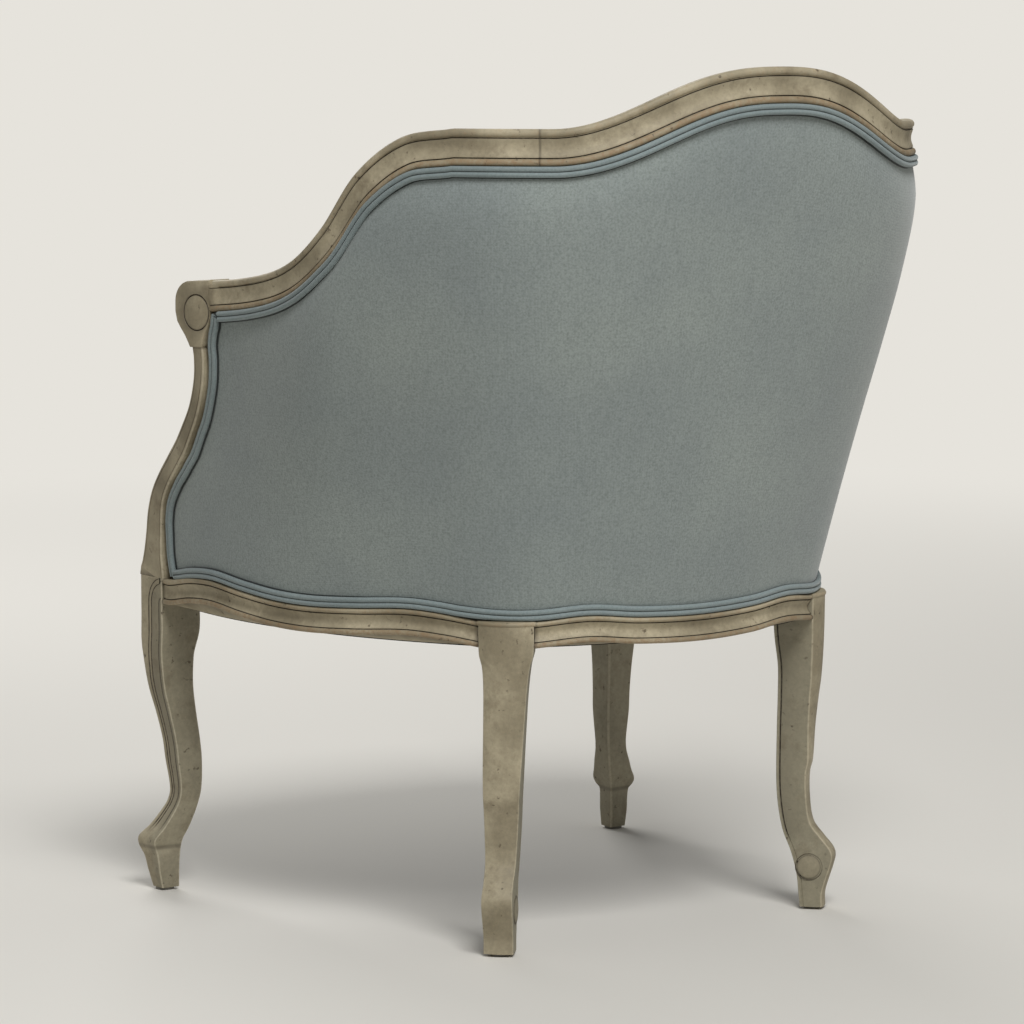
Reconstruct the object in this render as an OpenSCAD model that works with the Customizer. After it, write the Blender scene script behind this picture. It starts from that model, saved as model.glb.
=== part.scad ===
// A bergere armchair with a painted show-wood frame. Millimetres. The sitter faces -Y and the sitter's
// left is +X. The origin is on the floor under the middle of the chair's outline.

/* [Top rail] */
// Height of the top rail at the middle of the back
back_h = 911; // [900:1:935]
// Height of the top rail at its shoulders
shoulder_h = 851; // [838:1:860]
// Height of the arms at their tips
arm_h = 679; // [672:1:690]
// Radius of the outer face of the rail round the back
back_radius = 355; // [345:1:365]
// Distance from the origin back to the outer face of the rail
back_y = 367; // [362:1:375]
// How much fuller than a circle the rail's plan is half way round to the arms
plan_full = 10; // [4:1:12]
// Length of the raised middle of the rail, from its centre to a shoulder
crest_len = 244; // [225:1:260]
// Where the rail starts to fall towards the arm, along the rail from its middle
fall_start = 345; // [335:1:360]
// Length of the arm rail in front of the round back
arm_run = 209; // [203:1:215]
// How far the arm tips turn outwards
arm_flare = 16; // [8:1:18]
// Thickness of the rail from its outer to its inner face
rail_w = 30; // [28:1:33]
// Height of the rail round the back
rail_h = 37; // [34:1:39]
// Height of the rail at the arms
arm_rail_h = 33; // [31:1:34]
// Depth of the hollow between the two beads
cove_depth = 5; // [4:0.5:6]
// Radius of the round boss on the arm tip
boss_r = 20.5; // [19:0.5:22]
// Depth of the carved line round a boss
carve_depth = 1.4; // [0.8:0.2:2]
// Width of the carved line round a boss
carve_w = 1.6; // [1:0.2:2.4]

/* [Arm supports] */
// Length that the support leans back over from its foot to its top
support_lean = 151; // [146:1:155]
// Width of the support at its foot
support_foot_w = 50; // [46:1:51]
// Thickness of the support across the chair
support_t = 30; // [26:1:32]

/* [Seat frame] */
// Height of the show-wood seat rails at the rear legs
seat_rail_top = 347; // [341:1:353]
// Height of the moulded face of a seat rail
seat_rail_h = 28; // [26:1:30]
// Thickness of a seat rail
seat_rail_w = 28; // [26:1:30]
// Height of the hidden top of the seat rails above the rear legs
seat_rail_rise = 16; // [15.5:0.5:18]
// Height of the wave of the seat rails
rail_wave = 10; // [6:1:12]
// How far a side rail bows outwards between its legs
side_bow = 46; // [40:1:50]
// How far the rear rail bows outwards between its legs
rear_bow = 39; // [33:1:44]
// How far the front rail bows forwards between its legs
front_bow = 31; // [22:1:34]
// Length of a tenon in its leg
tenon_len = 16; // [12:1:18]
// Thickness of a tenon
tenon_t = 9; // [8:1:10]
// Height of a tenon
tenon_h = 18; // [15:1:20]
// Height of a corner block
block_h = 24; // [20:1:26]
// Length of a corner block along a rail
block_len = 46; // [40:1:50]
// Diameter of a corner screw
screw_d = 4; // [3:0.5:4.5]
// Length of a corner screw
screw_len = 32; // [30:1:34]
// Diameter of a dowel
dowel_d = 8; // [6:1:9]
// Length of a dowel
dowel_len = 36; // [30:1:40]

/* [Legs] */
// Distance across between the centres of the front feet
front_span = 620; // [612:1:628]
// Distance across between the centres of the rear feet
rear_span = 414.6; // [408:0.2:420]
// Distance from the front feet back to the rear feet
foot_depth = 494.6; // [488:0.2:500]
// Distance from the origin back to the middle of the four feet
feet_y = -76; // [-80:1:-72]
// Width that the curves of the legs are drawn to
leg_w = 50; // [46:1:53]
// Width of a front leg's block from side to side
front_block_w = 50; // [46:1:52]
// Depth of a front leg's block from front to back
front_block_d = 46; // [44:1:48]
// Distance from the centre of a front foot out to the side of its block
front_block_out = 18; // [16:1:20]
// Width of a rear leg at its top
rear_block_w = 58; // [54:1:60]
// Diameter of a glide under a foot
glide_d = 20; // [16:1:21]
// Height of a glide
glide_h = 3; // [2:0.5:4]

/* [Upholstery] */
// How far the outside of the back swells out between the seat and the rail
cover_full = 18; // [12:1:20]
// Thickness of the outside cover with its wadding
cover_t = 2.4; // [2:0.2:3]
// Thickness of the hessian behind the outside cover
lining_t = 1.2; // [1:0.1:1.6]
// Diameter of one cord of a double welt
welt_d = 5.6; // [5:0.2:6]
// Thickness of the inside padding at its middle
pad_t = 40; // [34:1:44]
// Thickness of the inside padding along its edges
pad_edge_t = 10; // [8:1:14]
// Thickness of the seat webbing
webbing_t = 1.6; // [1.2:0.2:2]
// Width of a webbing strap
strap_w = 50; // [44:1:54]
// Thickness of the padded deck under the cushion
deck_t = 22; // [18:1:24]
// Thickness of the loose cushion at its seams
cushion_t = 84; // [76:1:92]
// Height of the cushion's crown above its upper seam
cushion_crown = 20; // [14:1:24]
// How far the sides of the cushion draw in between its seams
cushion_waist = 4; // [2:0.5:6]
// Diameter of the piping round the cushion
piping_d = 6; // [5:0.5:7]
// Thickness of the black cloth under the seat
dust_t = 1; // [0.8:0.1:1.4]

/* [Hidden] */

// Colours of the painted wood, the hidden wood, the cloths and the small parts
paint = "#a59c86";
beech = "#c9a878";
fabric = "#7f8f92";
jute = "#b09a72";
black_cloth = "#1c1c1e";
steel = "#8a8d90";
glide_grey = "#6e6a63";

// Clearance between two pieces of wood that meet, between soft pieces, and round a dowel or a screw
joint_gap = 0.2;
soft_gap = 0.3;
hole_gap = 0.1;
// Overrun of every cut
over = 1;
// Step of the differences that give directions, as a share
step_share = 0.004;

// Circle centre of the round back, and how deep its cover sits inside the rail's outer face
back_c = back_y - back_radius;
cover_inset = 4.5;
// Inset of the cover inside the seat rails' outer faces
seat_inset = 7;
// Places of the feet
front_foot = [front_span / 2, feet_y - foot_depth / 2];
rear_foot = [rear_span / 2, feet_y + foot_depth / 2];
diag = [sqrt(0.5), sqrt(0.5)];

// Unit vector and blends
function unit(v) = v / norm(v);
function mix(a, b, u) = a + (b - a) * u;
function smooth(u) = let(c = min(1, max(0, u))) c * c * (3 - 2 * c);

function steps(from, to, count) = [for (i = [0:count]) mix(from, to, i / count)];
function backwards(list) = [for (i = [len(list) - 1:-1:0]) list[i]];

// A piece and its mirror image
module both() for (side = [0, 1]) mirror([side, 0, 0]) children();

// Height of a smooth curve through points [place, height] at a place: a cubic between each two points
function slope(p, i) =
  let(a = max(0, i - 1), b = min(len(p) - 1, i + 1)) (p[b][1] - p[a][1]) / (p[b][0] - p[a][0]);
function span(p, x, i = 0) = i >= len(p) - 2 || x < p[i + 1][0] ? i : span(p, x, i + 1);
function curve(p, x) =
  let(i = span(p, x), h = p[i + 1][0] - p[i][0], u = (x - p[i][0]) / h)
  p[i][1] * (1 + 2 * u) * (1 - u) * (1 - u) + slope(p, i) * h * u * (1 - u) * (1 - u)
  + p[i + 1][1] * u * u * (3 - 2 * u) + slope(p, i + 1) * h * u * u * (u - 1);

// A bow between two plan points: a parabola that stands off the chord by a height
function bow(a, b, high, u) =
  let(d = b - a, n = [d[1], -d[0]] / norm(d)) a + u * d + n * high * 4 * u * (1 - u);

// Closed solid through rings of points, capped at both ends
module sweep(rings) {
  n = len(rings[0]);
  m = len(rings);
  polyhedron(points = [for (r = rings) each r], faces = concat(
    [[for (j = [0:n - 1]) j]],
    [for (i = [0:m - 2], j = [0:n - 1]) let(a = i * n + j, b = i * n + (j + 1) % n)
      each [[a, a + n, b + n], [a, b + n, b]]],
    [[for (j = [n - 1:-1:0]) (m - 1) * n + j]]));
}

// Top rail: its plan, heights and section

// Plan of the rail's outer face at a distance along it from the middle of the back
quarter = back_radius * PI / 2;
flare_share = 0.47;
function flare(d) = arm_flare * pow(max(0, d / arm_run - 1 + flare_share) / flare_share, 2);
function rail_plan_half(s) =
  let(a = s / back_radius * 180 / PI, r = back_radius + plan_full * pow(sin(2 * a), 2))
  s < quarter ? [r * sin(a), back_c + r * cos(a)] : [back_radius + flare(s - quarter), back_c - (s - quarter)];
function rail_plan(s) = let(p = rail_plan_half(abs(s))) [sign(s) < 0 ? -p[0] : p[0], p[1]];

// The crest is a raised cosine, and the fall to the arm follows shares of its length and height
rail_end = quarter + arm_run;
fall_shares = [[0, 0], [0.137, 0.056], [0.275, 0.273], [0.396, 0.6], [0.523, 0.81], [0.686, 0.92], [1, 1]];
crest_power = 1.27;
function crest(s) = let(u = min(1, abs(s) / crest_len)) (1 + cos(180 * pow(u, crest_power))) / 2;
function rail_top(s) = shoulder_h + (back_h - shoulder_h) * crest(s)
  - (shoulder_h - arm_h) * curve(fall_shares, min(1, max(0, (abs(s) - fall_start) / (rail_end - fall_start))));
function rail_height(s) = mix(rail_h, arm_rail_h, smooth((abs(s) - fall_start) / (quarter - fall_start)));

// Frame of the rail at a distance: the plan's outward direction and the direction square to the path
rail_step = back_radius * step_share;
function rail_point(s) = let(p = rail_plan(s)) [p[0], p[1], rail_top(s)];
function rail_along(s) = unit(rail_point(s + rail_step) - rail_point(s - rail_step));
function rail_out(s) = let(t = rail_along(s)) unit([-t[1], t[0], 0]);
function rail_up(s) = cross(rail_along(s), rail_out(s));

// Sections of the top rail's two faces: depths in shares of the cove, and shares of its height from the top
rail_face_shares = [[-1.1, 0], [-0.55, 0.03], [-0.36, 0.12], [-0.5, 0.22], [-0.68, 0.26], [-0.9, 0.42], [-0.84, 0.6],
  [-0.5, 0.76], [-0.3, 0.81], [0, 0.9], [-0.1, 1]];
rail_inner_shares = [[-0.6, 0.09], [0.1, 0.15], [0.1, 0.28], [-0.5, 0.36], [-0.5, 0.75], [0, 0.83], [0, 0.95],
  [-0.3, 1]];
function rail_section(h) = concat(
  [for (q = rail_inner_shares) [-rail_w - q[0] * cove_depth, -q[1] * h]],
  [for (q = backwards(rail_face_shares)) [q[0] * cove_depth, -q[1] * h]]);
function rail_ring(s, section) =
  [for (q = section) rail_point(s) + rail_out(s) * q[0] + rail_up(s) * q[1]];
module rail_piece(from, to, count)
  sweep([for (s = steps(from, to, count)) rail_ring(s, rail_section(rail_height(s)))]);

// Height of the rail's underside over the plan place s: the ring that ends there starts a little further on
function under_place(s, q, count) =
  count < 1 ? q : under_place(s, s - rail_height(q) * rail_along(q)[2], count - 1);
function rail_under(s) = let(q = under_place(s, s, 4)) rail_top(q) - rail_height(q) * rail_up(q)[2];

// The joint between crest rail and arm rail lies a little outside the shoulder
joint_share = 1.05;
rail_joint = crest_len * joint_share;
tip_len_share = 1.66;
boss_s = rail_end - boss_r * tip_len_share;

// Dowels across a rail joint, laid along the rail at two depths
dowel_depth_shares = [0.3, 0.72];
module rail_joint_dowels(gap) {
  for (q = dowel_depth_shares) {
    p = rail_point(rail_joint) - rail_out(rail_joint) * rail_w / 2 - rail_up(rail_joint) * rail_h * q;
    t = rail_along(rail_joint);
    translate(p) rotate([0, 0, atan2(t[1], t[0])]) rotate([0, 90 - asin(t[2]), 0])
      cylinder(h = dowel_len + 2 * gap, d = dowel_d + 2 * gap, center = true, $fn = 32);
  }
}

// Where a stile stands under the arm rail's rear end, and its place and depth behind the cover
stile_share = 0.4;
stile_out = -(cover_t + lining_t + 3 * soft_gap);
stile_t = 18;

// Shell: the surface of the outside cover, from the seat rails up to the top rail. A point on it has a
// place t from 0 at the middle of the back to 1 at the arm support, and a height share v.

// Plan ends of the rails' outer faces
front_block = [[front_foot[0] + front_block_out - front_block_w, front_foot[1] - front_block_out],
  [front_foot[0] + front_block_out, front_foot[1] - front_block_out + front_block_d]];
side_set = 5;
side_front = [front_block[1][0] - side_set, front_block[1][1] + joint_gap];
rear_across = [-diag[0], diag[1]];
rear_shift = 6.5;
rear_set = 6;
side_rear = rear_foot + diag * rear_set - rear_across * (rear_block_w / 2 - rear_shift + joint_gap);
rear_end = rear_foot + diag * rear_set + rear_across * (rear_block_w / 2 + rear_shift + joint_gap);
function side_plan(u) = bow(side_front, side_rear, side_bow, u);
function rear_plan(u) = bow(rear_end, [-rear_end[0], rear_end[1]], rear_bow, u);

// Waves of the rails' height as shares of rail_wave, along each rail
side_wave_shares = [[0, 0.3], [0.03, 0.3], [0.12, 1], [0.22, 1.25], [0.34, 0.72], [0.46, 0.25], [0.57, 0.15], [0.7, 0.42],
  [0.83, 0.8], [0.92, 0.55], [1, 0]];
rear_wave_shares = [[0, 0], [0.15, 0.46], [0.3, 0], [0.5, -0.22], [0.7, 0], [0.85, 0.46], [1, 0]];
front_wave_shares = [[0, 0.3], [0.15, 1], [0.32, 0.6], [0.5, 0.1], [0.68, 0.6], [0.85, 1], [1, 0.3]];
function wave(shares, u) = rail_wave * curve(shares, min(1, max(0, u)));
front_leg_top = seat_rail_top + rail_wave * front_wave_shares[0][1];

// Line of the seat rails' outer faces in plan, from the middle of the back round a leg to the support
corner_from_share = 0.34;
corner_to_share = 0.46;
rear_stop_share = 0.07;
side_stop_share = 0.95;
side_over_share = 0;
function heading(f, u) = unit(f(u + step_share) - f(u - step_share));
function meet(p, d, q, e) = p + d * ((q - p)[0] * e[1] - (q - p)[1] * e[0]) / (d[0] * e[1] - d[1] * e[0]);
function corner_turn(u) =
  let(p = rear_plan(rear_stop_share), q = side_plan(side_stop_share),
    r = meet(p, heading(function(w) rear_plan(w), rear_stop_share), q,
      heading(function(w) side_plan(w), side_stop_share)))
  p * (1 - u) * (1 - u) + r * 2 * u * (1 - u) + q * u * u;
function seat_line(t) = t < corner_from_share
  ? rear_plan(mix(0.5, rear_stop_share, t / corner_from_share))
  : t < corner_to_share
  ? corner_turn((t - corner_from_share) / (corner_to_share - corner_from_share))
  : side_plan(mix(side_stop_share, side_over_share, (t - corner_to_share) / (1 - corner_to_share)));
function seat_line_out(t) =
  let(d = unit(seat_line(t + step_share) - seat_line(max(0, t - step_share)))) [-d[1], d[0]];
function seat_line_z(t) = seat_rail_top + (t < corner_from_share
  ? wave(rear_wave_shares, mix(0.5, rear_stop_share, t / corner_from_share))
  : t < corner_to_share
  ? mix(wave(rear_wave_shares, rear_stop_share), wave(side_wave_shares, side_stop_share),
    (t - corner_from_share) / (corner_to_share - corner_from_share))
  : wave(side_wave_shares, mix(side_stop_share, side_over_share, (t - corner_to_share) / (1 - corner_to_share))));

// Arm support: the line of its outer face's middle, its width, and where it stands and ends
boss_plan = rail_plan(boss_s);
// The knuckle's top and sides stand a little proud of the rail's
tip_proud = 0.6;
tip_top_share = 1.76;
tip_low_share = -1.8;
boss_drop_share = 1.61;
boss_z = rail_top(boss_s) - boss_r * boss_drop_share;
support_top = [boss_plan[0] - carve_depth, boss_plan[1] - boss_r * 0.1, boss_z + boss_r * tip_low_share];
support_foot = [side_front[0], support_top[1] - support_lean, front_leg_top + joint_gap];
lean_shares = [[0, 0], [0.04, 0.021], [0.115, 0.049], [0.19, 0.078], [0.267, 0.109], [0.344, 0.172], [0.42, 0.284],
  [0.5, 0.438], [0.573, 0.581], [0.65, 0.705], [0.725, 0.816], [0.8, 0.899], [0.878, 0.962], [0.954, 0.995], [1, 1]];
width_shares = [[0, 1], [0.04, 0.86], [0.12, 0.68], [0.27, 0.57], [0.42, 0.45], [0.57, 0.43], [0.72, 0.38],
  [0.87, 0.37], [1, 0.38]];
function support_y(u) = mix(support_foot[1], support_top[1], curve(lean_shares, u));
function support_point(u) =
  [mix(support_foot[0], support_top[0], u), support_y(u), mix(support_foot[2], support_top[2], u)];
function support_width(u) = support_foot_w * curve(width_shares, u);
function support_steep(u) =
  let(d = support_point(u + step_share) - support_point(u - step_share)) norm(d) / d[2];
tip_rear_shares = [[0.37, tip_low_share], [0.44, -1.5], [0.6, -1.1], [0.86, -0.65], [1.02, -0.2], [1.2, -0.05],
  [1.2, tip_top_share]];
function knuckle_edge_y(z) =
  boss_plan[1] + boss_r * lookup((z - boss_z) / boss_r, [for (q = tip_rear_shares) [q[1], q[0]]]);
edge_gap = 2;
function support_share(z) = min(1, max(0, (z - support_foot[2]) / (support_top[2] - support_foot[2])));
function support_edge_y(z) =
  let(u = support_share(z), y = support_y(u) + support_width(u) / 2 * support_steep(u))
  edge_gap + (z < support_top[2] ? y : max(y, knuckle_edge_y(z)));

// Point of the shell at place t and height share v, moved outwards by a distance
front_share = 0.55;
shell_front = quarter - (boss_plan[1] + boss_r * front_share - back_c);
head_shift = knuckle_edge_y(boss_z) + edge_gap - boss_plan[1] - boss_r * front_share;
function shell_foot(t) =
  let(p = seat_line(t) - seat_line_out(t) * seat_inset) [p[0], p[1], seat_line_z(t) + 5 * soft_gap];
function shell_head(t) =
  let(s = t * shell_front, p = rail_plan(s) - [rail_out(s)[0], rail_out(s)[1]] * cover_inset,
    q = s + head_shift * smooth((t - 0.5) / 0.5) * rail_along(s)[1])
  [p[0], p[1], rail_under(q) - 3 * soft_gap / rail_up(q)[2]];
function edge_shift(v) =
  let(p = mix(shell_foot(1), shell_head(1), v)) support_edge_y(p[2]) - p[1];
full_shares = [[0, 0], [0.22, 0.22], [0.42, 0.5], [0.58, 0.78], [0.74, 0.97], [0.9, 0.82], [1, 0]];
function full_at(t) = cover_full * mix(0.5, 1, smooth(t / 0.4)) * (1 - smooth((t - 0.5) / 0.5));
function shell_half(t, v) =
  mix(shell_foot(t), shell_head(t), v) + rail_out(t * shell_front) * full_at(t) * curve(full_shares, v)
  + [0, edge_shift(v) * smooth((t - 0.5) / 0.5), 0];
function shell(t, v) = let(p = shell_half(abs(t), v)) [t < 0 ? -p[0] : p[0], p[1], p[2]];
function shell_out(t, v) =
  let(d = shell(t + step_share, v) - shell(t - step_share, v)) unit([-d[1], d[0], 0]);
function at(t, v, o) = shell(t, v) + shell_out(t, v) * o;
function share_at(t, z) = (z - shell(t, 0)[2]) / (shell(t, 1)[2] - shell(t, 0)[2]);

// Places that every piece along the shell shares, closer together round the rear corners
half_stations = concat(steps(0, 0.3, 6), steps(0.325, 0.5, 7), steps(0.55, 1, 10));
shell_stations = concat([for (i = [len(half_stations) - 1:-1:1]) -half_stations[i]], half_stations);
shell_rows = [0, 0.22, 0.42, 0.58, 0.74, 0.9, 1];
function between(from, to) =
  concat([from], [for (t = shell_stations) if (t > from + step_share && t < to - step_share) t], [to]);

// Closed slab between two faces over a grid of places ts and shares vs: face(t, v) gives a point
module slab(ts, vs, outer, inner) {
  n = len(vs);
  m = len(ts);
  k = n * m;
  function id(i, j) = i * n + j;
  function quad(a, b, c, d) = [[a, c, b], [a, d, c]];
  polyhedron(points = concat([for (t = ts, v = vs) outer(t, v)], [for (t = ts, v = vs) inner(t, v)]),
    faces = concat(
      [for (i = [0:m - 2], j = [0:n - 2])
        each quad(id(i, j), id(i, j + 1), id(i + 1, j + 1), id(i + 1, j))],
      [for (i = [0:m - 2], j = [0:n - 2])
        each quad(k + id(i, j), k + id(i + 1, j), k + id(i + 1, j + 1), k + id(i, j + 1))],
      [for (i = [0:m - 2]) each quad(id(i, 0), id(i + 1, 0), k + id(i + 1, 0), k + id(i, 0))],
      [for (i = [0:m - 2])
        each quad(id(i, n - 1), k + id(i, n - 1), k + id(i + 1, n - 1), id(i + 1, n - 1))],
      [for (j = [0:n - 2]) each quad(id(0, j), k + id(0, j), k + id(0, j + 1), id(0, j + 1))],
      [for (j = [0:n - 2])
        each quad(id(m - 1, j), id(m - 1, j + 1), k + id(m - 1, j + 1), k + id(m - 1, j))]));
}

// Sub-parts

module crest_rail() color(paint) difference() {
  rail_piece(-rail_joint, rail_joint, 30);
  both() rail_joint_dowels(hole_gap);
}

module arm_rail() {
  turn = atan2(rail_out(boss_s)[1], rail_out(boss_s)[0]);
  difference() {
    union() {
      rail_piece(rail_joint + joint_gap, boss_s - boss_r * 0.5, 26);
      translate([boss_plan[0], boss_plan[1], boss_z]) rotate([0, 0, turn]) rotate([90, 0, 90])
        translate([0, 0, -rail_w - tip_proud]) linear_extrude(rail_w + 2 * tip_proud) knuckle_outline();
    }
    translate([boss_plan[0], boss_plan[1], boss_z]) rotate([0, 0, turn]) rotate([0, 90, 0])
      translate([0, 0, tip_proud]) boss_line();
    rail_joint_dowels(hole_gap);
    stile_head_dowel(hole_gap);
    support_head_dowel(hole_gap);
  }
}
module arm_rail_left() color(paint) arm_rail();
module arm_rail_right() color(paint) mirror([1, 0, 0]) arm_rail();

// Outline of the arm tip round its boss, in shares of the boss's radius, with the rear side positive
tip_round_share = 1.07;
tip_centre_shares = [-0.52, tip_top_share - tip_round_share];
tip_front_shares = [[-1.59, 0], [-1.46, -0.5], [-1.2, -0.85], [-0.9, -1.2], [-0.6, -1.65], [-0.56, tip_low_share]];
module knuckle_outline() {
  polygon([for (q = concat(tip_rear_shares,
    [for (a = [90:15:180]) tip_centre_shares + tip_round_share * [cos(a), sin(a)]],
    tip_front_shares)) q * boss_r]);
}

// Ring cut round a boss, with the boss's axis upwards and its face at zero
module boss_line(r = boss_r) {
  translate([0, 0, -carve_depth]) difference() {
    cylinder(h = carve_depth + over, r = r, $fn = 48);
    translate([0, 0, -over]) cylinder(h = carve_depth + 3 * over, r = r - carve_w, $fn = 48);
  }
}

// Arm support, with a dowel at each end
function support_ring(u) =
  let(p = support_point(u), n = shell_out(1, u), up = u <= 0 || u >= 1 ? [0, 0, 1]
    : unit(support_point(u + step_share) - support_point(u - step_share)),
    b = unit(cross(up, n)), h = support_width(u) / 2, c = h / 6)
  [for (q = [[-support_t, -h + c], [-support_t + c, -h], [-c, -h], [0, -h + c], [0, h - c], [-c, h],
    [-support_t + c, h], [-support_t, h - c]]) p + n * q[0] + b * q[1]];
module arm_support() difference() {
  sweep([for (u = steps(0, 1, 20)) support_ring(u)]);
  support_head_dowel(hole_gap);
  support_foot_dowel(hole_gap);
}
module arm_support_left() color(paint) arm_support();
module arm_support_right() color(paint) mirror([1, 0, 0]) arm_support();
module support_head_dowel(gap) {
  p = support_point(1) - shell_out(1, 1) * support_t / 2;
  translate(p) cylinder(h = dowel_len + 2 * gap, d = dowel_d + 2 * gap, center = true, $fn = 32);
}
module support_foot_dowel(gap) {
  p = support_point(0) - shell_out(1, 0) * support_t / 2 - [0, dowel_d, 0];
  translate(p) cylinder(h = dowel_len + 2 * gap, d = dowel_d + 2 * gap, center = true, $fn = 32);
}

// Cabriole legs. A profile gives [share of the height, share of leg_w] along the leg's diagonal.
front_out_shares = [[0, 0.3], [0.057, 0.42], [0.1, 0.5], [0.132, 0.62], [0.16, 0.62], [0.198, 0.36],
  [0.238, 0.14], [0.278, -0.04], [0.318, -0.1], [0.413, 0], [0.479, 0.06], [0.562, 0.2], [0.642, 0.36],
  [0.725, 0.46], [0.808, 0.52], [0.9, 0.52]];
front_in_shares = [[0, -0.34], [0.089, -0.36], [0.149, -0.42], [0.195, -0.58], [0.261, -0.76], [0.318, -0.86],
  [0.41, -0.88], [0.479, -0.84], [0.562, -0.76], [0.642, -0.7], [0.705, -0.7], [0.771, -0.74], [0.845, -0.86],
  [0.9, -0.98]];
rear_out_shares = [[0, 0.29], [0.043, 0.29], [0.086, 0.37], [0.132, 0.47], [0.163, 0.51], [0.186, 0.45],
  [0.218, 0.27], [0.266, 0.03], [0.347, -0.06], [0.424, -0.06], [0.461, 0], [0.567, 0.05], [0.65, 0.11],
  [0.728, 0.18], [0.808, 0.22], [0.888, 0.24], [1, 0.25]];
rear_in_shares = [[0, -0.24], [0.043, -0.27], [0.103, -0.31], [0.172, -0.43], [0.244, -0.62], [0.321, -0.72],
  [0.404, -0.76], [0.567, -0.75], [0.685, -0.73], [0.768, -0.73], [0.862, -0.8], [1, -0.82]];
rear_width_shares = [[0, 0.54], [0.046, 0.54], [0.16, 0.56], [0.218, 0.54], [0.37, 0.61], [0.464, 0.655],
  [0.564, 0.7], [0.676, 0.74], [0.794, 0.79], [0.86, 0.86], [0.9, 0.98], [1, 1]];
front_heights_share = [0, 0.03, 0.07, 0.11, 0.135, 0.16, 0.185, 0.21, 0.24, 0.28, 0.33, 0.4, 0.48, 0.56, 0.64,
  0.72, 0.78, 0.83, 0.87];
rear_heights_share = concat(front_heights_share, [0.9, 0.93, 1]);

// Front leg: square in section, its outer corner rounded, turning into its upright block
function diag_ring(foot, dir, z, section) =
  [for (q = section) [foot[0] + dir[0] * q[0] - dir[1] * q[1], foot[1] + dir[1] * q[0] + dir[0] * q[1], z]];
front_side_shares = [[0, 0.91], [0.06, 0.85], [0.1, 0.76], [0.13, 0.7], [0.15, 0.86], [0.18, 0.92], [0.22, 1],
  [1, 1]];
front_block_share = 0.84;
function front_section(u) =
  let(o = leg_w * curve(front_out_shares, u), i = leg_w * curve(front_in_shares, u),
    k = (o - i) * 0.1, h = (o - i) / 2 + k * 0.25, m = o + k * 0.5 - h, w = curve(front_side_shares, u))
  [for (q = [[m - h + k / 2, k / 2], [m - h + k / 2, -k / 2], [m, -h], [m + h - k * 1.7, -k * 1.7],
    [m + h - k * 0.6, -k * 0.7], [m + h - k * 0.6, k * 0.7], [m + h - k * 1.7, k * 1.7], [m, h]])
    [q[0], q[1] * w]];
module front_leg() difference() {
  block_z = glide_h + (front_leg_top - glide_h) * front_block_share;
  union() {
    sweep([for (u = front_heights_share)
      diag_ring(front_foot, [diag[0], -diag[1]], glide_h + (front_leg_top - glide_h) * u, front_section(u))]);
    translate([front_block[0][0], front_block[0][1], block_z])
      cube([front_block_w, front_block_d, front_leg_top - block_z]);
  }
  side_front_tenon(hole_gap);
  front_end_tenon(hole_gap);
  support_foot_dowel(hole_gap);
  front_glide(hole_gap);
}
module front_leg_left() color(paint) front_leg();
module front_leg_right() color(paint) mirror([1, 0, 0]) front_leg();

// Rear leg: flat faced, set on the diagonal, with a round boss on both sides of its toe
toe_boss_r = 15;
toe_boss_z = 47;
toe_boss_in = -2;
round_shares = [0.05, 0.2];
function rear_section(u) =
  let(o = leg_w * curve(rear_out_shares, u), i = leg_w * curve(rear_in_shares, u),
    w = rear_block_w * curve(rear_width_shares, u) / 2, c = w * 0.12, s = rear_shift * smooth((u - 0.4) / 0.55),
    e = leg_w * mix(round_shares[0], round_shares[1], smooth((u - 0.35) / 0.5)),
    k = mix(0.96, 0.84, smooth((u - 0.35) / 0.5)))
  [for (q = [[i, w * k - c], [i, -w * k + c], [i + c, -w * k], [o - e, -w], [o - e * 0.3, -w * 0.6], [o, 0],
    [o - e * 0.3, w * 0.6], [o - e, w], [i + c, w * k]]) [q[0], q[1] + s]];
module rear_leg() difference() {
  w = rear_block_w * curve(rear_width_shares, (toe_boss_z - glide_h) / (seat_rail_top - glide_h));
  boss = rear_foot + diag * toe_boss_in;
  union() {
    sweep([for (u = rear_heights_share)
      diag_ring(rear_foot, diag, glide_h + (seat_rail_top - glide_h) * u, rear_section(u))]);
    translate([boss[0], boss[1], toe_boss_z]) rotate([0, 0, 45]) rotate([90, 0, 0])
      cylinder(h = w + carve_depth / 2, r = toe_boss_r, center = true, $fn = 48);
  }
  for (turn = [0, 180])
    translate([boss[0], boss[1], toe_boss_z]) rotate([0, 0, 45 + turn]) rotate([90, 0, 0])
      translate([0, 0, w / 2 + carve_depth / 4]) boss_line(toe_boss_r + carve_w / 2);
  side_rear_tenon(hole_gap);
  rear_end_tenon(hole_gap);
  stile_foot_dowel(hole_gap);
  rear_glide(hole_gap);
}
module rear_leg_left() color(paint) rear_leg();
module rear_leg_right() color(paint) mirror([1, 0, 0]) rear_leg();

// Nailed glides
glide_pin_d = 5;
glide_pin_len = 14;
module glide(gap) {
  cylinder(h = glide_h, d = glide_d, $fn = 48);
  cylinder(h = glide_h + glide_pin_len + gap, d = glide_pin_d + 2 * gap, $fn = 24);
}
rear_glide_in = 1;
module front_glide(gap) translate([front_foot[0], front_foot[1], 0]) glide(gap);
module rear_glide(gap)
  translate([rear_foot[0] + diag[0] * rear_glide_in, rear_foot[1] + diag[1] * rear_glide_in, 0]) glide(gap);
module foot_glide_front_left() color(glide_grey) front_glide(0);
module foot_glide_front_right() color(glide_grey) mirror([1, 0, 0]) front_glide(0);
module foot_glide_rear_left() color(glide_grey) rear_glide(0);
module foot_glide_rear_right() color(glide_grey) mirror([1, 0, 0]) rear_glide(0);

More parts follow.
